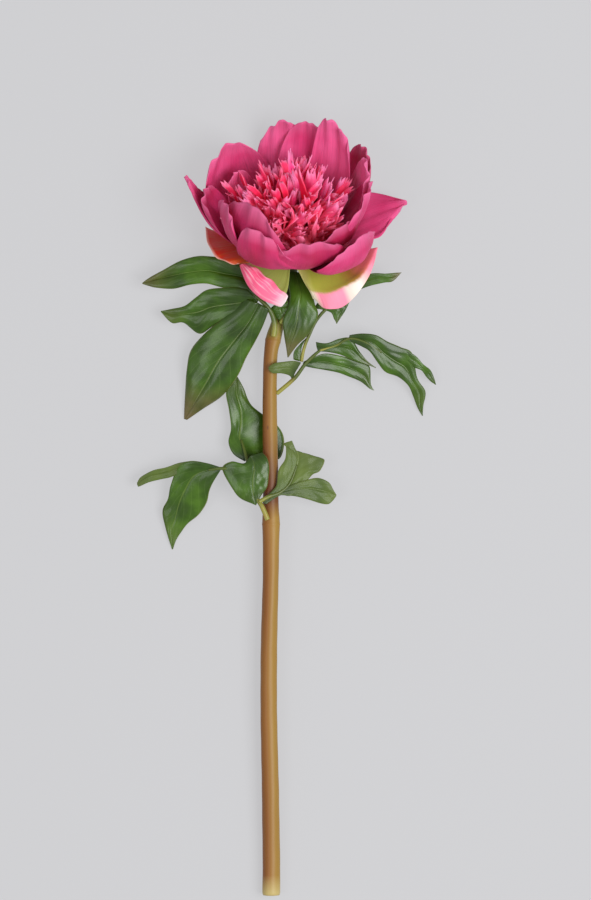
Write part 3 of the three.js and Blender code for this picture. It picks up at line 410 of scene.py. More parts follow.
def lower_tissue(name, colour_of):
    """A petal material for one lower petal: satin petal tissue with fine streaks. colour_of makes its colour
    from the place on the petal and the streaks."""
    material, tree = new_material(name)
    fibres = add(tree, "Mapping", {"Vector": read(tree, "place"), "Scale": (30, 3, 1)})
    streaks = add(tree, "TexNoise", {"Vector": fibres, "Scale": 1, "Detail": 3})
    colour = colour_of(tree, read(tree, "across"), read(tree, "along"), streaks)
    bump = add(tree, "Bump", {"Height": streaks, "Distance": 0.25 * MM})
    surface = add(tree, "BsdfPrincipled", {
        "Base Color": colour, "Roughness": 0.5, "Normal": bump, "Specular IOR Level": 0.35,
        "Sheen Weight": 0.15})
    add(tree, "OutputMaterial", {"Surface": surface})
    return material


def rolled_colour(tree, across, along, streaks):
    """Green at the claw, deep pink at the upper end, then pale pink and almost white at the lower tip, with
    pale bands that run the long way."""
    pinks = add(tree, "ValToRGB", {"Fac": across},
                stops=[(0.05, "ee4474"), (0.35, "f85684"), (0.8, "fc7ca0"), (1.0, "feeaee")])
    folds = add(tree, "Mapping", {"Vector": read(tree, "place"), "Scale": (2.2, 26, 1)})
    bands = add(tree, "TexNoise", {"Vector": folds, "Scale": 1, "Detail": 3})
    banded = tint(tree, pinks, bands, 0.5, 0.68, 0.6, "fed0dc")
    return tint(tree, banded, along, 0.62, 0.4, 1, "98a04a")


def broad_colour(tree, across, along, streaks):
    """Yellow-green with an orange-red flush on the right, then a turned-out lip: cream, pink and white, with
    a painted shadow as a thin dark red line along the fold between them.
    """
    greens = add(tree, "ValToRGB", {"Fac": across},
                 stops=[(0.0, "cdcb7c"), (0.25, "aaac40"), (0.6, "a09a38"), (0.72, "a2702e"),
                        (0.83, "dc6c6c"), (1.0, "f58498")])
    lips = add(tree, "ValToRGB", {"Fac": across},
               stops=[(0.02, "e9e3b4"), (0.14, "f4e6cc"), (0.27, "fc90aa"), (0.56, "fc94b0"),
                      (0.6, "fbd8cc"), (0.68, "fbeee0"), (0.74, "fbbcb8"), (0.8, "fb8ca4"),
                      (1.0, "f77f98")])
    wobble = add(tree, "Math", {0: streaks, 1: 0.06, 2: along}, operation="MULTIPLY_ADD")
    late = add(tree, "MapRange", {"Value": across, "From Min": 0.58, "From Max": 0.7, "To Max": -0.08})
    shifted = add(tree, "Math", {0: wobble, 1: late}, operation="ADD")
    both = tint(tree, greens, shifted, 0.75, 0.81, 1, lips)
    # Painted shadow: a thin dark red line along the fold where the lip turns out.
    fold = add(tree, "ValToRGB", {"Fac": shifted},
               stops=[(0.64, "000000"), (0.75, "6a6a6a"), (0.86, "000000")])
    return add(tree, "Mix", {0: fold, 6: both, 7: "a05030"}, out=2, data_type="RGBA")


def red_colour(tree, across, along, streaks):
    """Orange-red with yellower streaks, and a thin pale free edge."""
    reds = add(tree, "ValToRGB", {"Fac": across},
               stops=[(0.0, "ca5a1c"), (0.4, "da3014"), (0.75, "d62010"), (1.0, "d82220")])
    streaked = tint(tree, reds, streaks, 0.5, 0.72, 0.3, "b98a3a")
    return tint(tree, streaked, along, 0.93, 0.985, 1, "e8a89a")


build("lower_petals", [
    (lower_tissue("rolled_pink_petal", rolled_colour), [drape(LOWER_PETALS["rolled"], 0.3)]),
    (lower_tissue("broad_green_petal", broad_colour), [drape(LOWER_PETALS["broad"], 0.5)]),
    (lower_tissue("red_petal", red_colour), [drape(LOWER_PETALS["red"], 0.7)]),
    (green_cup, [turned(LOWER_BASE, sides=48, steps=24)]),
], "lower_petals")

# The guard petals: the big magenta petals of the cup, in two rings, joined at their claws on a small
# saucer. Each is soft petal tissue, pinker inside than outside, with fine veins that fan out from the claw.
PETAL_CELLS = (40, 48)
PETAL_THICK = 0.8
CLAW_START = 0.12
BEND = 0.62
LAYER_GAP = 1.1
NOTCH_AT, NOTCH_REACH = -0.1, 0.16
CLAW_WIDTH = 0.2
WIDE_PLEATS, FINE_PLEATS, SLANTED_PLEATS, RIM_FRILL = 0.35, 0.22, 0.25, 0.3
GUARD_PETALS = {
    "back_left": dict(turn=98, reach=[(36, 0.5), (59, 20), (48, 61)], half=16, hollow=34, roll=2.5,
                      phase=2.3, curl=3, slant=0.06, layer=1, tone=0.7),
    "back_mid": dict(turn=77, reach=[(34, 0.5), (52, 26), (47, 63)], half=18, hollow=44, roll=1,
                     phase=0.3, wave=0.6, layer=2, tone=0.62),
    "back_right": dict(turn=50, reach=[(33, 0.5), (52, 26), (44, 74)], half=16, hollow=30, roll=-1,
                       phase=1.3, notch=0.12, wave=0.8, slant=-0.05, layer=3, crease=1.2, tone=0.85),
    "left_back": dict(turn=142, reach=[(38, 0), (60, 17), (48, 57)], half=30, hollow=46, roll=2,
                      phase=0.9, wave=1.2, slant=-0.03, tone=0.65),
    "left_inner": dict(turn=146, reach=[(31, 0.5), (46, 20), (43, 42)], half=13, hollow=26, roll=1,
                       phase=0.4, wave=0.7, layer=3, tone=0.75),
    "left_tip": dict(turn=175, reach=[(35, 3), (50, 21), (63, 53)], half=13, hollow=60, phase=0.2,
                     point=0.75, tone=0.45),
    "left_up": dict(turn=180, reach=[(33, 4), (52, 25), (52.5, 46)], half=15, hollow=40, roll=2,
                    phase=1.9, layer=1, tone=0.4),
    "left": dict(turn=207, reach=[(32, 3), (53, 25), (46, 54)], half=18, hollow=42, roll=2.5, phase=2.9,
                 layer=2, slant=-0.04, tone=0.3),
    "left_front": dict(turn=230, reach=[(32, 0.5), (55, 23), (39, 59)], half=30, hollow=46, roll=2.5,
                       phase=0.7, layer=3, tone=0.3),
    "front_left": dict(turn=255, reach=[(30, 3), (55, 22), (44, 47)], half=20, hollow=40, roll=-1.5,
                       phase=0.5, wave=1.4, slant=0.1, lean=-5, crumple=1.6, tone=0.3),
    "front_mid": dict(turn=284, reach=[(30, 0.5), (53, 20), (48, 43)], half=25, hollow=44, roll=1,
                      phase=1.5, layer=2, tone=0.25),
    "front_inner": dict(turn=321, reach=[(28, 0.5), (49, 20), (44, 42)], half=23, hollow=40, roll=2,
                        phase=2.5, layer=3, tone=0.05),
    "right_front": dict(turn=324.6, reach=[(40, 0), (57.7, 4.1), (53.1, 36.8)], half=27.9, hollow=34,
                        roll=3, phase=4.6, wave=0.5, slant=-0.01, lean=-3.8, layer=1, tone=0.5),
    "right_tip": dict(turn=24.8, reach=[(40, 0.2), (58, 9.5), (72, 17)], half=17, hollow=70, roll=-3,
                      phase=1.1, point=0.9, slant=-0.12, lean=-9.5, tone=0.64, claw=(4, 2.8)),
    "right": dict(turn=353, reach=[(30, 0.5), (48, 22), (49, 52)], half=24, hollow=40, roll=2, phase=1.7,
                  layer=2, tone=0.55),
    "right_wall": dict(turn=18, reach=[(34, 0.5), (51, 24), (48, 57)], half=17, hollow=34, roll=2,
                       phase=1.2, layer=1, tone=0.9),
    "right_back": dict(turn=37, reach=[(36, 0.5), (56, 24), (55, 52)], half=16, hollow=34, roll=2,
                       phase=2.7, tone=0.15),
}
CUP_BASE = [
    (0.3, 0.2), (9, 0.2), (15, 0.7), (20, 3), (21.5, 5.5), (20, 7.4), (14, 5.6), (8, 4.8), (0.3, 4.8),
]


def petal(turn, reach, half, hollow, tone, roll=0.0, wave=1.0, phase=0.0, point=0.0, notch=0.0, curl=0.0,
          slant=0.0, lean=0.0, layer=0, crease=0.0, crumple=0.0, claw=(4, 1)):
    """One petal. Its midline is a cubic from the claw, of radius and height from the axis. It widens as a
    quarter sine, closes as a half round, and is bent round a cylinder of radius hollow. To that come a roll
    to one side, a lean, waves along the rim, soft pleats, and for some a notch, a crease or a crumpled
    corner. s runs across it from -1 to 1, t along it to 1, and v is t drawn back where the outline closes."""
    across, along = (np.linspace(start, 1, cells + 1) for start, cells in zip((-1, CLAW_START), PETAL_CELLS))
    s, t = np.meshgrid(across, along, indexing="ij")
    q = np.maximum(0, (t - BEND) / (1 - BEND))
    rise = np.sin(np.pi / 2 * np.minimum(1, t / BEND)) ** 1.15
    width = half * (CLAW_WIDTH + (1 - CLAW_WIDTH) * rise)
    x = s * width * np.sqrt(1 - q * q / 2) * (1 - point * q**1.5)
    middle = hill(s, NOTCH_AT, NOTCH_REACH)
    uneven = 0.005 * (np.sin(5 * s + 5 * phase) + 0.4 * np.sin(12 * s + 2 * phase)) * q**2
    v = np.minimum(t, BEND) + (1 - BEND) * q * np.sqrt(1 - s * s / 2) * (1 - notch * middle)
    v = v * (1 - slant * s) * (1 - uneven)
    u = 1 - v
    p = np.array([claw, *reach], float)[:, :, None, None]
    radius, height = u**3 * p[0] + 3 * u * u * v * p[1] + 3 * u * v * v * p[2] + v**3 * p[3]
    dr, dh = u * u * (p[1] - p[0]) + 2 * u * v * (p[2] - p[1]) + v * v * (p[3] - p[2])
    length = np.hypot(dr, dh)
    rim = np.maximum(np.abs(s) ** 3, q**1.5) * rise
    sideways = np.abs(s) ** 3 * rise
    lift = roll * s * rise + curl * sideways - LAYER_GAP * layer
    lift += wave * (np.sin(3 * np.pi * s + phase) * rim + 0.6 * np.sin(9 * v + 2.3 * phase) * sideways)
    lift += WIDE_PLEATS * np.sin(8 * s + 2 * t + 4 * phase) * rise * (0.3 + 0.7 * t)
    lift += FINE_PLEATS * np.sin(15 * s - 3 * t + 7 * phase) * rise * t
    lift += SLANTED_PLEATS * np.sin(4 * s + 7 * t + 3 * phase) * rise
    lift += RIM_FRILL * np.sin(19 * s + 5 * t + 3 * phase) * rim**3
    lift += crease * middle * t**2
    lift += crumple * np.sin(9 * s + 14 * t) * hill(s, 0.7, 0.35) * hill(t, 0.85, 0.25)
    inward = hollow * (1 - np.cos(x / hollow))
    angle = np.radians(turn)
    out = np.cos(angle) * RIGHT + np.sin(angle) * BACK
    aside = -np.sin(angle) * RIGHT + np.cos(angle) * BACK
    outward = (dh / length)[..., None] * out - (dr / length)[..., None] * AXIS
    points = BASE + radius[..., None] * out + height[..., None] * AXIS
    points += (lift - inward)[..., None] * outward
    points += (hollow * np.sin(x / hollow) + lean * v * v)[..., None] * aside
    return sheet(points, PETAL_THICK, tone)


# Magenta petal tissue: soft and satin. Tone runs from deep to pale, the outside is duller than the inside,
# the claw is dark crimson, partly its own colour and partly painted shade deep in the cup, veins are darker
# streaks that fan out from it, and the rim is paler.
magenta, tree = new_material("magenta_petal")
along = read(tree, "along")
clouds = add(tree, "TexNoise", {"Vector": read(tree, "spot"), "Scale": 45, "Detail": 2})
shade = add(tree, "Math", {0: clouds, 1: 0.9, 2: read(tree, "tone")}, operation="MULTIPLY_ADD")
centred = add(tree, "Math", {0: shade, 1: 0.45}, operation="SUBTRACT")
body = add(tree, "ValToRGB", {"Fac": centred}, stops=[(0.1, "b0163e"), (0.5, "dc3c78"), (0.9, "f5649e")])
sided = tint(tree, body, read(tree, "face"), 0, 1, 0.3, "b62e5e")
fan = add(tree, "Mapping", {"Vector": read(tree, "place"), "Scale": (60, 1.8, 1)})
veins = add(tree, "TexNoise", {"Vector": fan, "Scale": 1, "Detail": 4, "Roughness": 0.6})
veined = tint(tree, sided, veins, 0.48, 0.76, 0.38, "a8245a")
# Dark crimson towards the claw: partly the petal's own colour and partly painted shade deep in the cup.
claw_crimson_and_shade = tint(tree, veined, along, 0.52, 0.15, 0.9, "8c0f2c")
colour = tint(tree, claw_crimson_and_shade, along, 0.86, 1, 0.55, "e878a8")
bump = add(tree, "Bump", {"Height": veins, "Distance": 0.4 * MM})
surface = add(tree, "BsdfPrincipled", {
    "Base Color": colour, "Roughness": 0.55, "Normal": bump, "Specular IOR Level": 0.25,
    "Sheen Weight": 0.05, "Sheen Roughness": 0.4, "Sheen Tint": "ff8fc0"})
add(tree, "OutputMaterial", {"Surface": surface})
petals = [petal(**shape) for shape in GUARD_PETALS.values()]
build("guard_petals", [(magenta, petals + [turned(CUP_BASE, sides=60, steps=40)])], "guard_petals")

# The crest: the dense tuft of narrow petaloids in the cup, on a small domed core. They are folded, twisted
# straps of thin petal tissue, crimson at the root and pale at the tip. Each has four narrower companions,
# two loose and two curled: how far their tips and knees stray, their most twist and their thickness.
PETALOIDS = 66
GOLDEN_ANGLE = 2.399963
ROOT_RADIUS, ROOT_TOP, ROOT_DROP = 20, 24, 11
TIP_RADIUS, TIP_TOP, TIP_DROP, TIP_BACK_RISE = 37.5, 43, 9, 8
LOOSE, CURLED = (3.8, 3.0, 1.5, 0.7), (6.0, 4.5, 3.2, 1.3)
PETALOID_CELLS, COMPANION_CELLS = (8, 16), (4, 6)
END_ROUND = 0.14
REACH_SPREAD, SIDE_SPREAD, HEIGHT_SPREAD, ROOT_STRAY = 6, 18, 10, 1.8
KNEE_RISE, KNEE_IN, KNEE_ASIDE = 4, 3, 9
JAGS, SWAY, TIP_CURL, CURL_FROM = 0.05, 2.2, 5.6, 0.75
CREST_CORE = [(0.3, 5.4), (8, 5.4), (17, 8.6), (23, 14), (22, 20), (17, 25), (9, 28), (0.3, 29)]


def draw(number, kind):
    """Repeatable draws between 0 and 1: the fraction of a large sine."""
    x = np.sin(number * 12.9898 + kind * 78.233 + 4.1) * 43758.5453
    return x - np.floor(x)


def strap(root, knee, tip, out, half, fold, spin, twist, split, crinkle, thick, cells, tone):
    """A folded strap along a parabola from root to tip. Its cross-section is a V whose depth grows as the
    1.5th power of the place across, it turns by spin and twist, its sides are crinkled as sines that grow
    towards the tip, and its end is a half round, notched or pointed by split. s runs across it from -1 to 1,
    and v along it from 0 to 1."""
    s, v = np.meshgrid(np.linspace(-1, 1, cells[0] + 1), np.linspace(0, 1, cells[1] + 1), indexing="ij")
    jag = JAGS * np.sin(8 * s + 30 * tone)
    w = v * (1 - jag - np.where(split > 0, split * (1 - np.abs(s)), -split * np.abs(s)))
    u = w[..., None]
    forth = unit(tip - root)
    wide = unit(np.cross(forth, out))
    sway = SWAY * crinkle * v * np.sin(5 * v + 17 * tone)
    line = (1 - u) ** 2 * root + 2 * (1 - u) * u * knee + u**2 * tip + sway[..., None] * wide
    deep = np.cross(forth, wide)
    angle = spin + twist * v
    close = np.sqrt(1 - 0.4 * (np.maximum(v - 1 + END_ROUND, 0) / END_ROUND) ** 2)
    width = half * (0.55 + 0.45 * np.sin(np.pi * np.minimum(1, v / 0.7) / 2)) * close
    x = s * width * np.cos(fold)
    y = np.abs(s) ** 1.5 * width * np.sin(fold) + crinkle * np.sin(6 * v + 9 * tone) * s * v
    y += (0.6 * crinkle * np.sin(13 * v + 4 * s + 20 * tone) * v
          - TIP_CURL * crinkle * np.maximum(0, v - CURL_FROM))
    points = (line + (np.cos(angle) * x - np.sin(angle) * y)[..., None] * wide
              + (np.sin(angle) * x + np.cos(angle) * y)[..., None] * deep)
    return sheet(points, thick, tone)


number = np.arange(PETALOIDS)
(turn_chance, reach_chance, aside_chance, height_chance, knee_out, knee_aside, half_chance, fold_chance,
 spin_chance, twist_chance) = (draw(number, kind)[:, None] for kind in range(1, 11))
ring = np.sqrt((number + 0.5) / PETALOIDS)[:, None]
angle = number[:, None] * GOLDEN_ANGLE + (turn_chance - 0.5) * 0.5
outs = np.cos(angle) * RIGHT + np.sin(angle) * BACK
sides = -np.sin(angle) * RIGHT + np.cos(angle) * BACK
roots = BASE + ROOT_RADIUS * ring * outs + (ROOT_TOP - ROOT_DROP * ring**2) * AXIS
tip_height = TIP_TOP - TIP_DROP * ring**4 + HEIGHT_SPREAD * (height_chance - 0.5)
tip_height += TIP_BACK_RISE * ring * np.maximum(0, np.sin(angle))
tips = BASE + (TIP_RADIUS * ring**0.9 + REACH_SPREAD * (reach_chance - 0.5)) * outs + tip_height * AXIS
tips += SIDE_SPREAD * (aside_chance - 0.5) * sides
knees = (roots + tips) / 2 + KNEE_RISE * ring * AXIS - KNEE_IN * knee_out * outs
knees += KNEE_ASIDE * (knee_aside - 0.5) * sides

dice = np.random.default_rng(7)
straps = []
for k in range(PETALOIDS):
    half, fold = 2 + 1.7 * half_chance[k, 0], 0.15 + 0.7 * fold_chance[k, 0]
    spin, twist = 5 * (spin_chance[k, 0] - 0.5), 2.6 * (twist_chance[k, 0] - 0.5)
    split, tone = dice.uniform(-0.02, 0.15), dice.uniform()
    straps.append(strap(roots[k], knees[k], tips[k], outs[k], half, fold, spin, twist, split, crinkle=0.5,
                        thick=0.8, cells=PETALOID_CELLS, tone=tone))
    for stray, bend, most_twist, thick in (LOOSE, LOOSE, CURLED, CURLED):
        root = roots[k] + dice.normal(0, ROOT_STRAY, 3)
        reach = dice.uniform(0.5, 1.0)
        tip = root + (tips[k] - roots[k]) * reach + dice.normal(0, stray, 3)
        knee = (root + tip) / 2 + dice.normal(0, bend, 3)
        half, fold = dice.uniform(1.7, 3.2), dice.uniform(0.1, 0.6)
        spin, twist = dice.uniform(-3, 3), dice.uniform(-most_twist, most_twist)
        split, tone = dice.uniform(-0.04, 0.14), dice.uniform()
        straps.append(strap(root, knee, tip, outs[k], half, fold, spin, twist, split, crinkle=0.6,
                            thick=thick, cells=COMPANION_CELLS, tone=tone))

# Petaloid tissue: thin and a little shiny, so that the folded edges catch the light. It is crimson at the
# root, pink red along the strap and pale pink at the tip, with pale pink edges that are partly a painted
# highlight, and painted light makes it paler all over in front, where the front petals shade it.
crest_tissue, tree = new_material("petaloid_tissue")
across, along, spot = read(tree, "across"), read(tree, "along"), read(tree, "spot")
clouds = add(tree, "TexNoise", {"Vector": spot, "Scale": 120, "Detail": 3})
shift = add(tree, "Math", {0: clouds, 1: 0.5, 2: along}, operation="MULTIPLY_ADD")
grown = add(tree, "Math", {0: shift, 1: 0.25}, operation="SUBTRACT")
reds = add(tree, "ValToRGB", {"Fac": grown},
           stops=[(0.1, "c40a20"), (0.35, "e81438"), (0.65, "fa2454"), (0.88, "fb4074"), (1.0, "ff7eaa")])
lilacs = add(tree, "ValToRGB", {"Fac": grown},
             stops=[(0.1, "c41040"), (0.4, "ea2c72"), (0.75, "f4468e"), (1.0, "ff8ec2")])
mixed = tint(tree, reds, read(tree, "tone"), 0.6, 0.92, 1, lilacs)
# Pale pink along both edges towards the tip: partly the tissue's paler edge and partly a painted highlight.
from_middle = add(tree, "Math", {0: across, 1: 0.5}, operation="SUBTRACT")
off_middle = add(tree, "Math", {0: from_middle}, operation="ABSOLUTE")
side_share = add(tree, "MapRange", {"Value": off_middle, "From Min": 0.36, "From Max": 0.5, "To Max": 0.22})
pale_edge_and_highlight_share = add(tree, "Math", {0: side_share, 1: along}, operation="MULTIPLY")
edged = add(tree, "Mix", {0: pale_edge_and_highlight_share, 6: mixed, 7: "ffa8c4"}, out=2, data_type="RGBA")
# Painted light: the straps in front are painted paler, to lift the shade that the front petals cast on them.
height = add(tree, "SeparateXYZ", {"Vector": spot}, out="Y")
colour = tint(tree, edged, height, 0.184, 0.155, 0.75, "ff7ca0")
fan = add(tree, "Mapping", {"Vector": read(tree, "place"), "Scale": (10, 2, 1)})
fibres = add(tree, "TexNoise", {"Vector": fan, "Scale": 1, "Detail": 3})
bump = add(tree, "Bump", {"Height": fibres, "Distance": 0.25 * MM})
surface = add(tree, "BsdfPrincipled", {
    "Base Color": colour, "Roughness": 0.5, "Normal": bump, "Specular IOR Level": 0.18})
add(tree, "OutputMaterial", {"Surface": surface})
straps.append(turned(CREST_CORE, sides=48, steps=36))
build("petaloid_crest", [(crest_tissue, straps)], "petaloid_crest")

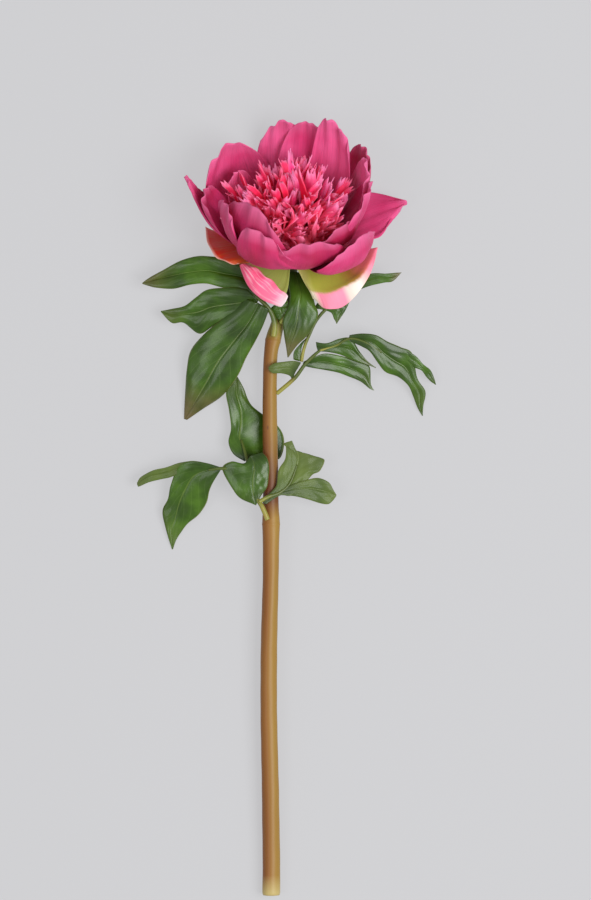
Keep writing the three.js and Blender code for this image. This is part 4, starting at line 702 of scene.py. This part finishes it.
# The leaves: five, each of lobed blades on thin stalks. A blade is waxy and dark green above, dull and pale
# below, with a sunk midrib, side veins and a yellow-green margin. Its rows give left edge, midrib and right
# edge, its arch how far it bows up, and its tip how brown it is at the end.
BLADE_CELLS = (28, 64)
BLADE_THICK = 0.7
LEAST_HALF, FULL_HALF = 0.35, 12
RIB_DEPTH, RIB_REACH = 0.45, 0.06
VEIN_DEPTH, VEIN_RATE, VEIN_SLANT = 0.06, 44, 18
WRINKLES, HILLS, SMALL_HILLS, MARGIN_WAVES = 0.16, 0.5, 0.3, 0.5
STALK_SIDES, STALK_STEPS = 14, 10
BLADES = {"leaf_left": [
    dict(arch=1.5, tip=0.75, rows=[
        [(-14.4, 136.8, 21), (-14.4, 132, 20), (-16.8, 126.6, 22)],
        [(-24, 146.4, 22), (-25.2, 138.6, 20), (-28.8, 131.4, 21)],
        [(-34.8, 150, 22), (-37.2, 141, 19.5), (-38.4, 132.6, 20)],
        [(-44.4, 151.2, 21), (-46.8, 142.8, 18.5), (-48, 135, 19)],
        [(-53.4, 151.5, 20), (-56.4, 142.2, 17.5), (-57.6, 134.4, 18)],
        [(-63.6, 148.8, 18), (-66.6, 140.4, 16), (-67.8, 132, 16)],
        [(-73.8, 143.4, 16), (-76.8, 138, 14.5), (-78, 132.6, 15)],
        [(-81.6, 139.2, 14.5), (-82.8, 136.2, 14), (-82.8, 133.8, 14)],
        [(-86.7, 135.6, 13.8), (-86.7, 135.6, 13.6), (-86.7, 135, 13.8)],
    ]),
    dict(arch=1.2, tip=0.3, rows=[
        [(-25.2, 133.2, 21), (-16.8, 124.8, 21.5), (-21.6, 112.8, 19)],
        [(-36, 132.6, 20), (-31.2, 123, 19.5), (-32.4, 111.6, 17)],
        [(-47.4, 131.4, 18), (-44.4, 121.2, 16), (-43.2, 109.8, 14.5)],
        [(-54.6, 126.6, 15), (-52.8, 118.2, 14), (-52.2, 105, 11)],
        [(-61.2, 121.8, 13), (-61.2, 117, 12), (-61.8, 111.6, 10.5)],
        [(-69, 120, 11), (-69, 116.4, 10.5), (-69, 111.6, 10)],
        [(-75.6, 118.8, 9.8), (-75.6, 118.5, 9.6), (-75.6, 118.2, 9.8)],
    ]),
    dict(arch=1.5, tip=1.0, rows=[
        [(-24, 126, 21), (-16.2, 123, 22), (-10.2, 119.4, 22.5)],
        [(-38.4, 114, 17), (-23.4, 110.4, 19), (-13.8, 109.8, 19.5)],
        [(-49.8, 104.4, 13), (-33, 98.4, 16), (-18.6, 100.2, 16.5)],
        [(-57.6, 94.8, 9.5), (-41.4, 87.6, 13), (-24, 90.6, 14)],
        [(-60, 83.4, 7), (-48, 76.2, 9.5), (-29.4, 79.2, 11)],
        [(-60.9, 72, 4.5), (-53.4, 67.2, 6), (-38.4, 67.8, 7.5)],
        [(-61.5, 61.8, 2.2), (-57.9, 59.4, 2.8), (-50.4, 59.7, 3.4)],
        [(-61.8, 53.7, 0.6), (-61.2, 53.4, 0.6), (-60, 53.1, 0.7)],
    ]),
], "leaf_front": [
    dict(arch=1.0, tip=0.8, rows=[
        [(0.9, 141.6, 16), (5.4, 142.2, 16.6), (11.4, 141, 16)],
        [(1.2, 135, 18), (7.2, 135.6, 19.2), (14.4, 134.4, 18.6)],
        [(2.4, 127.8, 20), (8.7, 128.4, 21.4), (16.2, 127.8, 20.6)],
        [(1.2, 121.2, 20.5), (7.8, 121.8, 22), (17.4, 122.4, 21)],
        [(-1.8, 112.8, 19), (6.6, 112.8, 20.5), (19.2, 115.8, 20)],
        [(-1.2, 104.4, 17.5), (4.2, 103.8, 18.5), (13.8, 105, 18)],
        [(0, 97.2, 16), (2.4, 97.2, 16.5), (6.6, 97.8, 16.5)],
        [(0.9, 90.9, 15), (1.2, 90.6, 15), (1.5, 90.9, 15)],
    ]),
    dict(arch=0.5, tip=0.1, rows=[
        [(-9.6, 120, 16.8), (-4.8, 124.2, 17.4), (0, 126.6, 18.4)],
        [(-7.8, 116.4, 16.8), (-3, 118.8, 17.6), (1.8, 121.8, 19.2)],
        [(-4.2, 112.8, 16.6), (-1.2, 114, 17.2), (2.4, 116.4, 18.4)],
    ]),
], "leaf_right": [
    dict(arch=0.6, tip=0.2, under=True, rows=[
        [(3.6, 77.4, 13), (5.4, 81.6, 14), (9, 87.6, 15)],
        [(1.8, 79.8, 15), (2.4, 84, 17), (4.8, 88.5, 17)],
        [(-3, 81, 18), (-3, 84.3, 19), (-1.8, 87.9, 19)],
        [(-7.8, 81, 19.6), (-7.8, 84, 20), (-7.2, 87, 19.8)],
        [(-10.5, 83.1, 19.8), (-10.6, 84, 19.8), (-10.5, 84.9, 19.8)],
    ]),
    dict(arch=0.8, tip=0.2, rows=[
        [(10.8, 88.2, 14), (10.2, 87, 14), (10.8, 85.5, 14)],
        [(16.2, 90.6, 15), (15.6, 87.6, 13.5), (16.2, 84.3, 13)],
        [(23.4, 93, 14), (22.8, 88.2, 12), (23.4, 83.1, 11.5)],
        [(32.4, 91.8, 12), (31.8, 86.4, 10.5), (31.2, 81.6, 10)],
        [(40.8, 89.4, 10), (39.6, 84, 9), (37.8, 79.2, 8.5)],
        [(50.1, 85.8, 8), (47.4, 79.2, 7.2), (45, 76.2, 6.8)],
        [(51, 75, 6), (51, 73.2, 6), (50.4, 72, 6)],
        [(53.1, 70.9, 5.6), (53, 70.9, 5.6), (52.9, 70.9, 5.6)],
    ]),
    dict(arch=0.8, tip=0.4, rows=[
        [(18, 99.9, 16), (18.3, 97.2, 16), (19.2, 94.2, 16)],
        [(24.6, 99.2, 16.5), (24.6, 96.6, 16), (25.2, 93.9, 15.5)],
        [(32.4, 102, 16), (32.4, 97.8, 15), (32.4, 92.4, 14.5)],
        [(39, 102, 15), (39.6, 96, 14), (39.6, 89.4, 13.4)],
        [(44.4, 94.2, 13), (44.4, 91.2, 12.6), (44.4, 87.6, 12.4)],
        [(48.9, 88.8, 11.4), (49.2, 87.6, 11.2), (49.2, 86.1, 11.2)],
        [(54.2, 84.6, 10.2), (54.1, 84.5, 10.2), (54, 84.4, 10.2)],
    ]),
    dict(arch=0.8, tip=0.2, rows=[
        [(38.4, 104.1, 17), (37.8, 102.3, 16.5), (39.6, 99.9, 16.5)],
        [(45.6, 105, 18), (46.2, 101.4, 17), (45.6, 97.2, 16.5)],
        [(54, 104.1, 17.5), (52.8, 99, 16.5), (50.4, 94.2, 16)],
        [(61.2, 100.2, 16), (58.8, 93.6, 14.5), (55.2, 87.6, 14)],
        [(69, 96.9, 14), (65.4, 88.8, 12.5), (60, 81.9, 12)],
        [(76.2, 93, 12), (72, 84.6, 10), (67.8, 78.9, 9.6)],
        [(79.2, 78.6, 7.6), (76.5, 76.8, 7.4), (73.8, 73.8, 7)],
        [(84.3, 70.2, 4.2), (81, 69, 4), (76.8, 67.5, 4)],
        [(83.1, 61.8, 2), (81.3, 61.2, 2), (79.5, 60.6, 2)],
        [(82.7, 55.6, 0.6), (82.6, 55.6, 0.6), (82.4, 55.6, 0.6)],
    ]),
    dict(arch=0.3, tip=0.2, rows=[
        [(70.8, 95.7, 13.6), (72, 91.8, 12.4), (73.8, 86.4, 10.6)],
        [(78, 91.8, 12), (78, 88.2, 11.2), (78.3, 84.3, 10)],
        [(82.8, 86.7, 10), (82.2, 84.9, 9.6), (81.9, 82.8, 9)],
        [(87.3, 83.1, 7), (85.8, 81.3, 6.8), (84.6, 79.2, 6.6)],
        [(89.7, 78, 5), (88.8, 77.1, 5), (87.6, 76.2, 5)],
        [(90.6, 74.4, 3.8), (90.5, 74.4, 3.8), (90.4, 74.4, 3.8)],
    ]),
], "leaf_under_bloom": [
    dict(arch=0.5, tip=0.9, rows=[
        [(41.4, 136.2, 18), (42.6, 133.8, 17), (44.1, 131.4, 16.5)],
        [(51, 141, 18.5), (50.4, 137.4, 17.5), (51, 133.8, 17)],
        [(60, 141.1, 18), (59.4, 138.6, 17.5), (58.8, 135.6, 17)],
        [(66, 141.6, 17.4), (65.1, 139.2, 17.2), (64.2, 136.5, 17)],
        [(69.5, 141.8, 17), (69.5, 141.7, 17), (69.4, 141.6, 17)],
    ]),
    dict(arch=0.3, tip=0.4, rows=[
        [(21, 124.8, 17), (18.6, 123, 17), (16.8, 120, 17)],
        [(31.2, 124.8, 18), (25.2, 122.4, 18), (21.6, 119.4, 17.5)],
        [(37.8, 124.8, 17), (31.2, 120, 17.5), (27, 117.6, 17)],
        [(36, 119.4, 16.5), (32.4, 117, 16.5), (28.8, 114, 16.5)],
        [(31.8, 112.8, 16), (30.9, 112.5, 16), (29.7, 112.5, 16)],
        [(30.6, 111, 15.8), (30.5, 111, 15.8), (30.4, 111, 15.8)],
    ]),
    dict(arch=0.2, tip=0.1, rows=[
        [(9.6, 99.6, 15), (10.8, 100.8, 15), (12, 102, 15)],
        [(6, 96, 14), (7.8, 96.6, 14.5), (9.6, 97.2, 14)],
        [(4.5, 93, 13.4), (6.6, 93, 14), (9, 93, 13.4)],
        [(4.5, 89.4, 13), (6.3, 88.8, 13.2), (8.4, 88.2, 13)],
    ]),
], "leaf_lower": [
    dict(arch=0.4, tip=0.1, rows=[
        [(-14.4, 33.3, 19.5), (-21.6, 31.2, 20), (-25.2, 25.2, 19.5)],
        [(-11.4, 30, 19.8), (-19.2, 26.4, 21), (-28.2, 26.4, 20)],
        [(-10.2, 24.6, 20), (-19.2, 20.4, 21.5), (-33, 27.9, 19.5)],
        [(-10.5, 18.6, 20), (-19.8, 15, 21), (-38.4, 23.4, 18.5)],
        [(-11.4, 12.6, 20), (-19.8, 10.2, 20.5), (-31.8, 10.8, 18.5)],
        [(-14.7, 7.8, 19.6), (-19.2, 6.3, 19.8), (-27, 5.4, 18.8)],
        [(-18, 1.8, 19), (-18.3, 1.5, 19), (-19.2, 2.1, 19)],
    ]),
    dict(arch=0.4, tip=0.2, rows=[
        [(-24.9, 27.9, 12), (-23.7, 29.7, 13), (-22.2, 30, 13)],
        [(-31.8, 32.4, 10), (-25.8, 35.4, 11), (-14.4, 31.2, 5)],
        [(-34.8, 39.6, 9), (-28.5, 42.6, 9), (-4.2, 29.4, 2.6)],
        [(-33.3, 48, 8.5), (-27.6, 50.4, 7.5), (-1.2, 40.8, 2)],
        [(-34.5, 58.8, 8.5), (-27.6, 58.8, 6.5), (-6, 50.4, 2.2)],
        [(-36.3, 69.6, 8), (-30, 69, 6), (-20.4, 61.2, 4)],
        [(-33, 76.2, 6), (-30, 75, 5.4), (-25.8, 72.6, 5)],
        [(-30, 79, 5), (-29.6, 79.2, 5), (-29.2, 78.8, 5)],
    ]),
    dict(arch=0.6, tip=0.2, rows=[
        [(-39, 24.3, 18.2), (-39, 23.4, 18.2), (-39.3, 22.8, 18.2)],
        [(-48, 27, 17.6), (-47.4, 22.8, 16.4), (-43.8, 15.6, 15.6)],
        [(-57.6, 28.2, 16.6), (-55.8, 19.2, 14), (-46.2, 10.2, 12.8)],
        [(-64.8, 25.2, 14.6), (-61.2, 10.8, 11), (-48, 3, 9.6)],
        [(-69.6, 13.8, 10.6), (-64.8, 2.4, 7.6), (-52.8, -4.2, 6)],
        [(-71.4, 5.4, 7.6), (-67.2, -6.6, 4.6), (-59.4, -9.6, 3.6)],
        [(-74.7, -1.8, 5.4), (-69.3, -13.2, 3), (-63.6, -15, 2.4)],
        [(-73.2, -11.4, 3), (-69, -19.8, 1.6), (-66.6, -19.8, 1.5)],
        [(-69.1, -25.4, 0.7), (-68.8, -25.4, 0.7), (-68.5, -25.2, 0.7)],
    ]),
    dict(arch=0.3, tip=0.3, under=True, rows=[
        [(-57.6, 28.2, 16.4), (-60, 25.2, 15), (-61.8, 22.2, 14)],
        [(-64.8, 27, 14.6), (-67.2, 23.4, 13), (-69, 18.6, 12)],
        [(-72.6, 24.3, 12.4), (-74.4, 21, 11), (-75.6, 17.1, 10.4)],
        [(-80.4, 22.5, 11), (-81.9, 19.5, 9.6), (-82.8, 15.3, 9)],
        [(-87.6, 18.6, 9.4), (-87.6, 16.2, 8.8), (-87.6, 13.2, 8.4)],
        [(-90.1, 15, 8.6), (-90, 13.8, 8.4), (-89.4, 12.6, 8.2)],
    ]),
    dict(arch=0.3, tip=0.1, under=True, rows=[
        [(-14.4, 3.6, 19.4), (-13.2, 2.7, 19.4), (-12, 2.1, 19.2)],
        [(-9.6, 9, 18.8), (-6.6, 7.8, 18.4), (-3.6, 7.4, 18)],
        [(-5.7, 13.8, 17.8), (-0.6, 10.8, 17), (3.6, 7.5, 16.4)],
        [(-4.5, 22.8, 17), (2.7, 15.6, 15.6), (12, 15.6, 15)],
        [(-0.6, 29.4, 16.4), (6, 22.8, 15), (16.2, 20.1, 14)],
        [(-0.1, 36.6, 16), (7.2, 29.4, 14.4), (20.4, 22.2, 13.4)],
        [(-1.5, 38.7, 15.8), (6.6, 33.6, 14.2), (23.2, 28.8, 13)],
        [(3.6, 40.5, 15.6), (6, 34.5, 14.2), (18, 29.7, 13.2)],
    ]),
    dict(arch=0.4, tip=0.1, under=True, rows=[
        [(-4.2, 10.2, 17.8), (-3.6, 9, 17.8), (-3, 7.6, 17.8)],
        [(4.8, 14.4, 16.4), (4.8, 11.1, 16.4), (5.4, 6.9, 16)],
        [(11.4, 16.5, 15.4), (12.6, 12, 15), (13.8, 4.8, 14.4)],
        [(19.2, 18, 14.4), (19.8, 10.8, 13.6), (20.4, 2.7, 13)],
        [(25.8, 15.3, 13.4), (25.2, 9.6, 12.6), (25.2, 2.1, 12)],
        [(28.5, 10.8, 12.6), (28.5, 8.4, 12.2), (27.9, 3.9, 11.8)],
        [(30.3, 7.8, 12), (30.4, 7.4, 12), (30, 6.6, 11.8)],
    ]),
]}
LEAF_STALKS = {"leaf_left": [
    [(-7.4, 103.2, 17.9, 1.7), (-6.9, 110.4, 18.7, 1.7), (-9, 117.6, 20, 1.5), (-14.4, 124.2, 21.5, 1.3),
     (-21.6, 129.6, 21, 0.9)],
], "leaf_front": [
    [(-3.3, 111.3, 16.5, 1.3), (-1.2, 114.6, 17.4, 1.2), (3, 120, 19.4, 1.1), (7.8, 123, 21, 0.8)],
], "leaf_right": [
    [(-5.7, 68.8, 12.4, 1.3), (2.4, 75.6, 12.8, 1.3), (6.6, 79.8, 13.4, 1.2), (11.4, 86.4, 14.4, 1.1),
     (16.8, 91.8, 15.4, 1), (20.4, 94.8, 16, 0.8)],
    [(20.4, 94.8, 16, 0.8), (30, 97.8, 15.5, 0.8), (38.4, 102, 16.6, 0.8), (48, 99.6, 17, 0.7),
     (57.6, 93.6, 15, 0.6)],
], "leaf_under_bloom": [
    [(9.3, 88.2, 12.6, 1), (10.8, 96, 14, 1), (13.8, 103.8, 15.4, 1), (18.6, 113.4, 16.4, 1),
     (26.4, 121.8, 17.6, 1), (37.2, 129.6, 17.6, 0.9), (45.6, 135, 17.2, 0.7)],
], "leaf_lower": [
    [(-11.1, -7.2, 19, 1.6), (-14.4, 0.6, 19.4, 1.5), (-18, 6.6, 18.7, 1.2), (-21.6, 16.8, 18.7, 1),
     (-30, 22.8, 18.1, 1), (-39, 23.7, 18.2, 1), (-46.8, 22.8, 16.8, 0.7)],
    [(-16.2, 3.6, 20, 1.2), (-10.8, 6.6, 19.2, 1.2), (-3.6, 9.3, 17.6, 1.1), (2.4, 15, 16, 0.9),
     (6.6, 25.8, 15, 0.6)],
    [(-21.6, 22.8, 20.4, 1), (-23.7, 29.4, 15, 1), (-27, 40.8, 9.4, 0.7)],
]}


def blade(rows, arch, tip, under=False):
    """A leaf blade: straight lines from the midrib to both edges, bowed up between them as a parabola, with
    the midrib and the side veins sunk as narrow valleys, low hills between them, and the margin in slow
    waves. s runs across it from -1 to 1, and v along it from 0 to 1."""
    across, along = BLADE_CELLS
    s = np.linspace(-1, 1, across + 1)[:, None]
    v = np.linspace(0, 1, along + 1)
    left, middle, right = through(rows, v).swapaxes(0, 1)
    reach = np.where(s[..., None] < 0, left, right) - middle
    wide = np.linalg.norm(reach, axis=-1)
    share = np.minimum(1, wide / FULL_HALF)
    off = np.abs(s)
    points = middle + reach * (off * np.maximum(1, LEAST_HALF / np.maximum(wide, 1e-6)))[..., None]
    relief = 4 * off * (1 - off) * (arch + VEIN_DEPTH * np.sin(VEIN_RATE * v - VEIN_SLANT * off))
    relief -= RIB_DEPTH * hill(s, 0, RIB_REACH)
    relief += WRINKLES * np.sin(19 * v + 5 * s + 5 * tip) * np.sin(9 * s - 7 * v) * (1 - s**4)
    hills = HILLS * np.sin(9 * v + 2.5 * s + 8 * tip) + SMALL_HILLS * np.sin(17 * v - 5 * s + 5 * tip)
    waves = MARGIN_WAVES * np.sin(15 * v + 3 * np.sign(s) + 9 * tip) * off**3
    points[..., 2] += (relief + hills * off * (1.4 - off) + waves) * share
    facing_down = np.cross(np.gradient(points, axis=0), np.gradient(points, axis=1))[..., 2].mean() < 0
    return sheet(points, BLADE_THICK, tip, turn_over=facing_down == under)


# Waxy peony leaf: glossy above from its wax, dull below, with a brownish tip on the older blades, and painted
# shade that darkens every blade towards its base.
leaf_wax, tree = new_material("waxy_peony_leaf")
along, face, spot = read(tree, "along"), read(tree, "face"), read(tree, "spot")
clouds = add(tree, "TexNoise", {"Vector": spot, "Scale": 70, "Detail": 4})
greens = add(tree, "ValToRGB", {"Fac": clouds},
             stops=[(0.32, "284206"), (0.52, "37570c"), (0.72, "4a6e18")])
dulls = add(tree, "ValToRGB", {"Fac": clouds}, stops=[(0.35, "465a20"), (0.7, "5e702c")])
under = tint(tree, greens, face, 0, 1, 1, dulls)
from_rib = add(tree, "Math", {0: read(tree, "across"), 1: 0.5}, operation="SUBTRACT")
off_rib = add(tree, "Math", {0: from_rib}, operation="ABSOLUTE")
vein_run = add(tree, "Math", {0: off_rib, 1: -2 * VEIN_SLANT}, operation="MULTIPLY")
vein_phase = add(tree, "Math", {0: along, 1: VEIN_RATE, 2: vein_run}, operation="MULTIPLY_ADD")
vein_wave = add(tree, "Math", {0: vein_phase}, operation="SINE")
veined = tint(tree, under, vein_wave, -0.93, -1, 0.1, "86a05a")
ribbed = tint(tree, veined, off_rib, 0.022, 0.008, 0.25, "8a9a4e")
edged = tint(tree, ribbed, off_rib, 0.478, 0.498, 0.6, "8c8f52")
near_tip = add(tree, "MapRange", {"Value": along, "From Min": 0.6, "From Max": 0.85})
patchy = add(tree, "MapRange", {"Value": clouds, "From Min": 0.3, "From Max": 0.6, "To Min": 0.4})
brown_end = add(tree, "Math", {0: near_tip, 1: patchy}, operation="MULTIPLY")
brown_share = add(tree, "Math", {0: brown_end, 1: read(tree, "tone")}, operation="MULTIPLY")
browned = add(tree, "Mix", {0: brown_share, 6: edged, 7: "625634"}, out=2, data_type="RGBA")
# Painted shade: every blade darkens towards its base, where it lies in shade.
base_shaded = tint(tree, browned, along, 0.3, 0, 0.7, "1a2a0c")
pores = add(tree, "TexNoise", {"Vector": spot, "Scale": 900, "Detail": 2})
bump = add(tree, "Bump", {"Height": pores, "Distance": 0.05 * MM})
gloss = add(tree, "MapRange", {"Value": face, "To Min": 0.34, "To Max": 0.62})
surface = add(tree, "BsdfPrincipled", {
    "Base Color": base_shaded, "Roughness": gloss, "Normal": bump, "Specular IOR Level": 0.35,
    "Coat Weight": 0.14, "Coat Roughness": 0.16})
add(tree, "OutputMaterial", {"Surface": surface})

# Leaf stalk: smooth skin, yellow-green where it leaves the stem and dark green further along.
stalk_skin, tree = new_material("leaf_stalk_skin")
patches = add(tree, "TexNoise", {"Vector": read(tree, "spot"), "Scale": 120, "Detail": 3})
skins = add(tree, "ValToRGB", {"Fac": patches}, stops=[(0.3, "7a8230"), (0.55, "928c38"), (0.75, "9c8638")])
far_skin = tint(tree, skins, read(tree, "along"), 0.15, 0.35, 0.9, "415518")
surface = add(tree, "BsdfPrincipled", {"Base Color": far_skin, "Roughness": 0.4})
add(tree, "OutputMaterial", {"Surface": surface})

for name, shapes in BLADES.items():
    blades = [blade(**shape) for shape in shapes]
    stalks = [stalk(path, STALK_SIDES, STALK_STEPS * (len(path) - 1)) for path in LEAF_STALKS[name]]
    build(name, [(leaf_wax, blades), (stalk_skin, stalks)], name)
